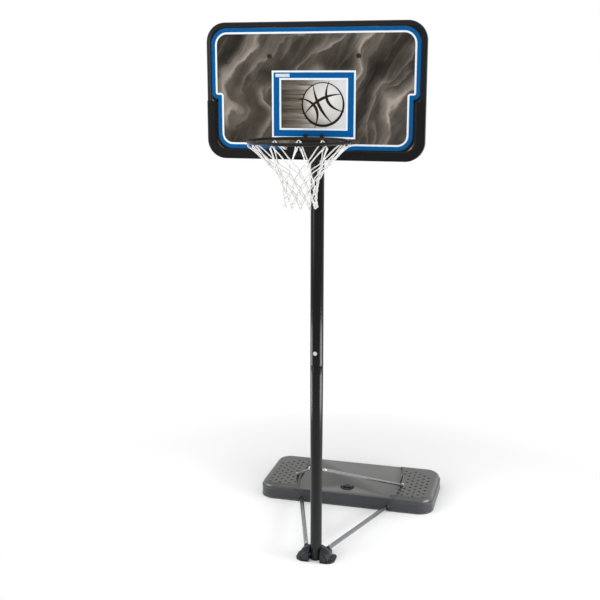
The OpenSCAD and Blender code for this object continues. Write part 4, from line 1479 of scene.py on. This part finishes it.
class HOOP_OT_tank(HoopOperator, bpy.types.Operator):
    """Blow-moulded tank: a deck between two raised, dimpled ends, a filler recess and two strut tunnels"""
    bl_idname = "hoop.tank"
    bl_label = "Base tank"

    def build(self, scene):
        self.look = scene.hoop_tank
        self.front, self.back, self.half = TANK_LOW.y, TANK_HIGH.y, TANK_HIGH.x
        tank = self.deck()
        for side in (-1, 1):
            combine(tank, self.end(side), "UNION")
        for side in (-1, 1):
            combine(tank, self.tunnel(side), "DIFFERENCE")
        settle(tank, "base_tank", 32)
        rims = Builder()
        for side in (-1, 1):
            middle = Vector((side * STRUT_BACK.x, self.front + 2.2, 0))
            high = TUNNEL * 1.13
            arch = side * high
            path = [(arch, 0, 3.4), (arch, 0, 14)]
            path += [(arch * math.cos(q), 0, 21 + high * math.sin(q))
                     for q in (math.pi * k / 14 for k in range(15))]
            path += [(-arch, 0, 14), (-arch, 0, 3.4)]
            rims.tube([middle + Vector(p) for p in path], 3.2, 12)
        piece("tunnel_rims", rims, tank_plastic(), "stand")
        self.fill()

    @staticmethod
    def fill():
        """The water inside the tank: its frame node drawn in a little from the shell."""
        made = bmesh.new()
        made.from_mesh(frame["nodes"]["ballast"].data)
        bmesh.ops.remove_doubles(made, verts=made.verts, dist=SAME_PLACE)
        made.normal_update()
        moves = [vertex.normal * (WATER_GAP / FULL) for vertex in made.verts]
        for vertex, move in zip(made.verts, moves):
            vertex.co -= move
        mesh = bpy.data.meshes.new("water_fill")
        made.to_mesh(mesh)
        made.free()
        mesh.materials.append(tank_water())
        water = link("water_fill", mesh)
        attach(water, "stand")
        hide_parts("ballast")

    def deck(self):
        """The middle of the tank, with the recess round the filler cap."""
        b = Builder()
        front, back = self.front + 3.2, self.back - 3.2
        xs = [DECK_HALF * (1 - i / 4) for i in range(9)]
        rings = []
        for inset, z in ((3.5, 0), (0.8, 0.9), (0, 2.6), (0, 5.5), (1.6, 8), (1.6, 77), (0.4, 79.2),
                         (0.1, 81), (0.6, 83.4), (2.2, 85.2), (4.6, DECK_TOP)):
            rings.append([(x, back - inset, z) for x in xs] + [(x, front + inset, z) for x in reversed(xs)])
        b.loft(rings, True, False)
        b.faces.append(tuple(range(len(rings[0]))))
        x, y = SEAL_LOW.x / 2 + SEAL_HIGH.x / 2, SEAL_LOW.y / 2 + SEAL_HIGH.y / 2
        well = [[(x + r * a, y + r * c, z) for a, c in circle(64)] for r, z in (
            (45.5, DECK_TOP), (44.2, 85.4), (43.3, 84), (43, 81), (42.7, 76.8), (41.6, 74.8), (39, 74),
            (26.2, 74), (25, 73), (25, 54))]
        b.loft(well, True, False)
        b.lid(64)
        b.plate(rings[-1], [well[0]])
        return piece("tank_shell", b, tank_plastic(), "stand")

    def inner_edge(self, share):
        """Half width of the deck at a share of the tank's depth, from front to back."""
        return 280 - 4 * share + 40 * math.sin(math.pi * share) ** 0.9

    def end_ring(self, side, inset, z):
        """Outline of a raised end at height z; its inner edge is drawn in more slowly than the rest."""
        slow = inset * 0.32
        r = self.look.corner * FULL - inset
        front, back, out = self.front + inset, self.back - inset, self.half - inset
        ring = [(self.inner_edge(0) + 7 + slow, front), (self.inner_edge(0) + 60, front)]
        ring += arc((out - r, front + r), r, -90, 0, 16)
        ring += arc((out - r, back - r), r, 0, 90, 16)
        ring += [(self.inner_edge(1) + 60, back), (self.inner_edge(1) + 7 + slow, back)]
        for i in range(25):
            share = 1 - i / 24
            y = self.front + 3 + (self.back - self.front - 6) * share
            y = max(front + 1.5, min(back - 1.5, y))
            ring.append((self.inner_edge(share) + slow, y))
        return [(side * x, y, z) for x, y in ring]

    def end(self, side):
        """A raised end: a foot rim, a wall, a ledge, a soft shoulder and a dimpled top."""
        b = Builder()
        soft = self.look.shoulder * FULL
        wall = WALL_INSET
        profile = [(3.5, 0), (0.8, 0.9), (0, 2.6), (0, 5.5), (wall, 8), (wall, LEDGE_Z - 3.4),
                   (0.3, LEDGE_Z - 1.8), (0, LEDGE_Z - 0.4), (0.6, LEDGE_Z + 0.7), (2.4, LEDGE_Z + 1.2),
                   (6.2, LEDGE_Z + 1.7), (7.0, LEDGE_Z + 2.6)]
        low = LEDGE_Z + 6
        for i in range(11):
            a = math.pi / 2 * i / 10
            profile.append((7.2 + soft * (1 - math.cos(a)), low + (TANK_TOP - low) * math.sin(a)))
        rings = [self.end_ring(side, inset, z) for inset, z in profile]
        b.loft(rings, True, False)
        b.faces.append(tuple(range(len(rings[0]))))
        b.plate(rings[-1], self.dimples(b, side))
        return raw("tank_end", b, tank_plastic())

    def dimples(self, b, side):
        """Bowls in staggered columns; gives back their edges as holes for the flat top."""
        r = self.look.dimple / 2 * FULL
        bowl = ((1, 0), (0.97, 1.2), (0.9, 5.0), (0.7, 8.4), (0.3, 9.6))
        holes = []
        for col in range(6):
            x = FIRST_COLUMN + COLUMN_STEP * col
            furthest = 1125 if col < 3 else 1105 - 30 * (col - 3)
            y = FIRST_ROWS[col % 2]
            while y <= furthest:
                away = math.hypot(x - BASE_BOLT.x, y - BASE_BOLT.y) > BOLT_ROOM
                clear = away and x > self.inner_edge(0.5) - 4
                inside = x - 9 > self.inner_edge((y - self.front) / (self.back - self.front)) + r
                if clear and inside:
                    rings = [[(side * (x + r * q * a), y + r * q * c, TANK_TOP - drop) for a, c in circle(14)]
                             for q, drop in bowl]
                    b.loft(rings, True, False)
                    b.lid(14)
                    holes.append(rings[0])
                y += ROW_STEP
        return holes

    def tunnel(self, side):
        """The space that a strut takes up under the tank."""
        b = Builder()
        run = (STRUT_BACK - STRUT_FRONT).normalized()
        start = Vector((STRUT_BACK.x, self.front, STRUT_BACK.z)) - run * 12
        across = Vector((0, 0, 1)).cross(run).normalized()
        rings = []
        for length in (0, 232):
            at = start + run * length
            ring = [at + across * (TUNNEL * math.cos(q)) + Vector((0, 0, TUNNEL * math.sin(q) - 3))
                    for q in (math.pi * k / 16 for k in range(17))]
            ring += [Vector((p.x, p.y, -2)) for p in (ring[-1], ring[0])]
            rings.append([Vector((side * p.x, p.y, p.z)) for p in ring])
        b.loft(rings)
        return raw("strut_space", b, tank_plastic())


# ---- wheeled foot ----------------------------------------------------------------------------

class HOOP_OT_carriage(HoopOperator, bpy.types.Operator):
    """Moulded foot of the pole: two ribbed domes over the wheels, a floor and cradles for the struts"""
    bl_idname = "hoop.carriage"
    bl_label = "Wheeled foot"

    # half silhouette of a dome seen from the front: (distance from the middle, height)
    DOME = [(29, 0), (29, 76), (36, 75.8), (43, 75), (50, 73), (57, 70), (64, 66), (71, 60.5), (78, 53),
            (84, 43.5), (88.5, 32), (91, 20), (92.5, 8), (92.5, 0)]
    # (distance forward or back, share of the silhouette): steps give the moulded ribs
    STEPS = [(40, 0.6), (36, 0.76), (28, 0.88), (14, 0.965), (2, 1.0), (-12, 1.0), (-18, 0.99), (-20, 0.975),
             (-21, 0.94), (-27, 0.93), (-29, 0.915), (-30, 0.875), (-36, 0.86), (-38, 0.84), (-39, 0.79),
             (-44, 0.76), (-47, 0.72), (-48, 0.66), (-50.5, 0.6), (-51.5, 0.54)]

    def build(self, scene):
        foot = self.floor()
        for side in (-1, 1):
            combine(foot, self.dome(side), "UNION")
            combine(foot, self.cradle(side), "UNION")
        combine(foot, self.saddle(), "UNION")
        combine(foot, self.notch(), "DIFFERENCE")
        for side in (-1, 1):
            combine(foot, self.well(side), "DIFFERENCE")
            combine(foot, self.socket(side), "DIFFERENCE")
        settle(foot, "wheel_carriage", 38)

    @staticmethod
    def stack(loops, name):
        """A closed block that runs through the loops."""
        b = Builder()
        b.loft(loops)
        return raw(name, b, foot_plastic())

    def floor(self):
        """Flat brim, rounder at the front than at the back."""
        rings = []
        for inset, z in ((2, 0), (0.4, 0.8), (0, 2), (0, 5.6), (0.6, 7.2), (2.2, 8)):
            ring = []
            for radius, y, start in ((46, FOOT_LOW.y, 180), (24, FOOT_HIGH.y, 0)):
                way = 1 if start else -1
                for side in (-way, way):
                    centre = (side * (FOOT_HIGH.x - radius), y + way * radius)
                    ring += arc(centre, radius - inset, start, start + 90, 12)
                    start += 90
            rings.append([(x, y, z) for x, y in ring])
        return self.stack(rings, "foot_shell")

    def dome(self, side):
        """Ribbed dome over a wheel, from back to front."""
        inner = self.DOME[0][0]
        rings = []
        for y, share in self.STEPS:
            rings.append([(side * (inner + (x - inner) * share), y, z * share) for x, z in self.DOME])
        return self.stack(rings, "dome")

    def block(self, name, side, middle, size, corner, least, profile):
        """A block with rounded corners; profile gives its inset at each height, least its sharpest corner."""
        rings = []
        for inset, z in profile:
            loop = round_rect(size[0] - 2 * inset, size[1] - 2 * inset, max(corner - inset, least))
            rings.append([(side * (middle[0] + x), middle[1] + y, z) for x, y in loop])
        return self.stack(rings, name)

    def cradle(self, side):
        """Holds the end of a lower strut."""
        return self.block("cradle", side, (57.5, 33), (49, 46), 14, 4,
                          ((0, 2), (0, 34), (1.2, 40), (5, 43.4), (9, 44)))

    def saddle(self):
        """Stands behind the pole and joins the domes."""
        return self.block("saddle", 1, (0, 17), (78, 54), 12, 3,
                          ((0, 1), (0, 58), (1.2, 63), (4, 65.4), (8, 66)))

    def notch(self):
        """Space for the pole, open to the front."""
        r = LOWER_HIGH.x + 0.3
        loop = arc((0, 0), r, 0, 180, 32) + [(-r, -70), (r, -70)]
        return self.stack([[(x, y, z) for x, y in loop] for z in (-3, 110)], "notch")

    def well(self, side):
        """Space for a wheel, open below."""
        half = (WHEEL_HIGH.x - WHEEL_LOW.x) / 2 + 2
        r = (WHEEL_HIGH.z - WHEEL_LOW.z) / 2 + 2.2
        loop = arc((WHEEL.y, WHEEL.z), r, 0, 180, 24) + [(WHEEL.y - r, -3), (WHEEL.y + r, -3)]
        return self.stack([[(side * (WHEEL.x + x), y, z) for y, z in loop] for x in (-half, half)], "well")

    def socket(self, side):
        """Round recess for the cap on the axle's end."""
        b = Builder()
        lathe(b, [(9.2, 76), (9.2, 120)], (0, WHEEL.y, WHEEL.z), "x", 24)
        if side < 0:
            b.points = [Vector((-p.x, p.y, p.z)) for p in b.points]
        return raw("socket", b, foot_plastic())


# ---- stage ------------------------------------------------------------------------------------

class HOOP_OT_stage(HoopOperator, bpy.types.Operator):
    """Pale floor, soft light and the camera"""
    bl_idname = "hoop.stage"
    bl_label = "Stage"

    def build(self, scene):
        look = scene.hoop_stage
        self.daylight(scene, look.daylight)
        self.floor()
        self.lamps()
        camera = bpy.data.cameras.new("camera")
        camera.sensor_width = 36
        camera.lens = look.lens
        camera.clip_end = 50
        eye = link("camera", camera)
        az, pitch = look.azimuth, look.pitch
        ahead = Vector((-math.sin(az) * math.cos(pitch), math.cos(az) * math.cos(pitch), -math.sin(pitch)))
        eye.rotation_euler = ahead.to_track_quat("-Z", "Y").to_euler()
        eye.location = look.camera_place
        scene.camera = eye
        scene.view_settings.view_transform = "Standard"

    @staticmethod
    def daylight(scene, strength):
        """Even light from all round in front of a plain white backdrop."""
        world = bpy.data.worlds.new("daylight")
        scene.world = world
        world.use_nodes = True
        sky = Nodes(world.node_tree)
        soft, white = [sky.add("ShaderNodeBackground", None, {0: (1, 1, 1), 1: level})
                       for level in (strength, 1)]
        backdrop = sky.add("ShaderNodeMixShader", None, {0: sky.seen(), 1: soft, 2: white})
        sky.add("ShaderNodeOutputWorld", None, {0: backdrop})

    @staticmethod
    def floor():
        """Floor that keeps the object's shadow and turns into the plain white backdrop away from it."""
        mesh = bpy.data.meshes.new("floor")
        side = 30.0
        corners = [(-side, -side, 0), (side, -side, 0), (side, side, 0), (-side, side, 0)]
        mesh.from_pydata(corners, [], [(0, 1, 2, 3)])
        s = Shader("floor")
        base = s.blend(s.noise(0.8, 2), (0.94, 0.94, 0.94), (0.96, 0.96, 0.96))
        plain = s.surface(Base_Color=base, Roughness=0.9, Normal=s.bump(s.noise(60), 0.0001))
        white = s.add("ShaderNodeEmission", None, {0: (1, 1, 1), 1: 1.0})
        where = s.add("ShaderNodeTexCoord", output="Object")
        away = s.add("ShaderNodeVectorMath", {"operation": "DISTANCE"}, {0: where, 1: (0, 0.55, 0)}, "Value")
        share = s.clamp((away - 0.85) / 1.1) * s.seen()
        mesh.materials.append(s.close(s.add("ShaderNodeMixShader", None, {0: share, 1: plain, 2: white})))
        link("floor", mesh)

    # name, place, height that it aims at, width, height and power
    LAMPS = [
        ("key_lamp", (-4.1, -3.2, 2.5), 1.7, 2.2, 3.6, 112),
        ("right_lamp", (2.2, 0.1, 0.42), 0.3, 1.6, 0.75, 60),
        ("left_lamp", (-2.2, -0.2, 0.42), 0.3, 1.2, 0.75, 30),
        ("top_lamp", (-0.6, -2.2, 5.6), 0.9, 3.4, 2.6, 54),
    ]

    def lamps(self):
        """A tall soft lamp at the left, a low one on each side of the tank and a broad one above."""
        for name, place, aim, wide, tall, power in self.LAMPS:
            light = bpy.data.lights.new(name, "AREA")
            light.shape = "RECTANGLE"
            light.size = wide
            light.size_y = tall
            light.energy = power
            lamp = link(name, light)
            lamp.location = place
            lamp.rotation_euler = (Vector((0, 0.2, aim)) - Vector(place)).to_track_quat("-Z", "Y").to_euler()


OPERATORS = [
    HOOP_OT_finishes, HOOP_OT_board_frame, HOOP_OT_edge_pad, HOOP_OT_board_print, HOOP_OT_rim, HOOP_OT_net,
    HOOP_OT_pole, HOOP_OT_struts, HOOP_OT_tank, HOOP_OT_carriage, HOOP_OT_stage,
]


class HOOP_PT_panel(bpy.types.Panel):
    """Settings and steps of the hoop"""
    bl_idname = "HOOP_PT_panel"
    bl_label = "Portable hoop"
    bl_space_type = "VIEW_3D"
    bl_region_type = "UI"
    bl_category = "Hoop"

    def draw(self, context):
        for name, group in SETTINGS.items():
            box = self.layout.box()
            box.label(text=name.replace("hoop_", "").capitalize())
            for setting in group.__annotations__:
                box.prop(getattr(context.scene, name), setting)
        for operator in OPERATORS:
            self.layout.operator(operator.bl_idname)


def register():
    for name, group in SETTINGS.items():
        bpy.utils.register_class(group)
        setattr(bpy.types.Scene, name, bpy.props.PointerProperty(type=group))
    for made in (*OPERATORS, HOOP_PT_panel):
        bpy.utils.register_class(made)


def unregister():
    for made in reversed((*OPERATORS, HOOP_PT_panel)):
        bpy.utils.unregister_class(made)
    for name, group in reversed(SETTINGS.items()):
        delattr(bpy.types.Scene, name)
        bpy.utils.unregister_class(group)


def main():
    register()
    for operator in OPERATORS:
        step = operator.bl_idname.split(".")[1]
        if getattr(bpy.ops.hoop, step)() != {"FINISHED"}:
            raise RuntimeError(f"{step} didn't finish")


if __name__ == "__main__":
    main()
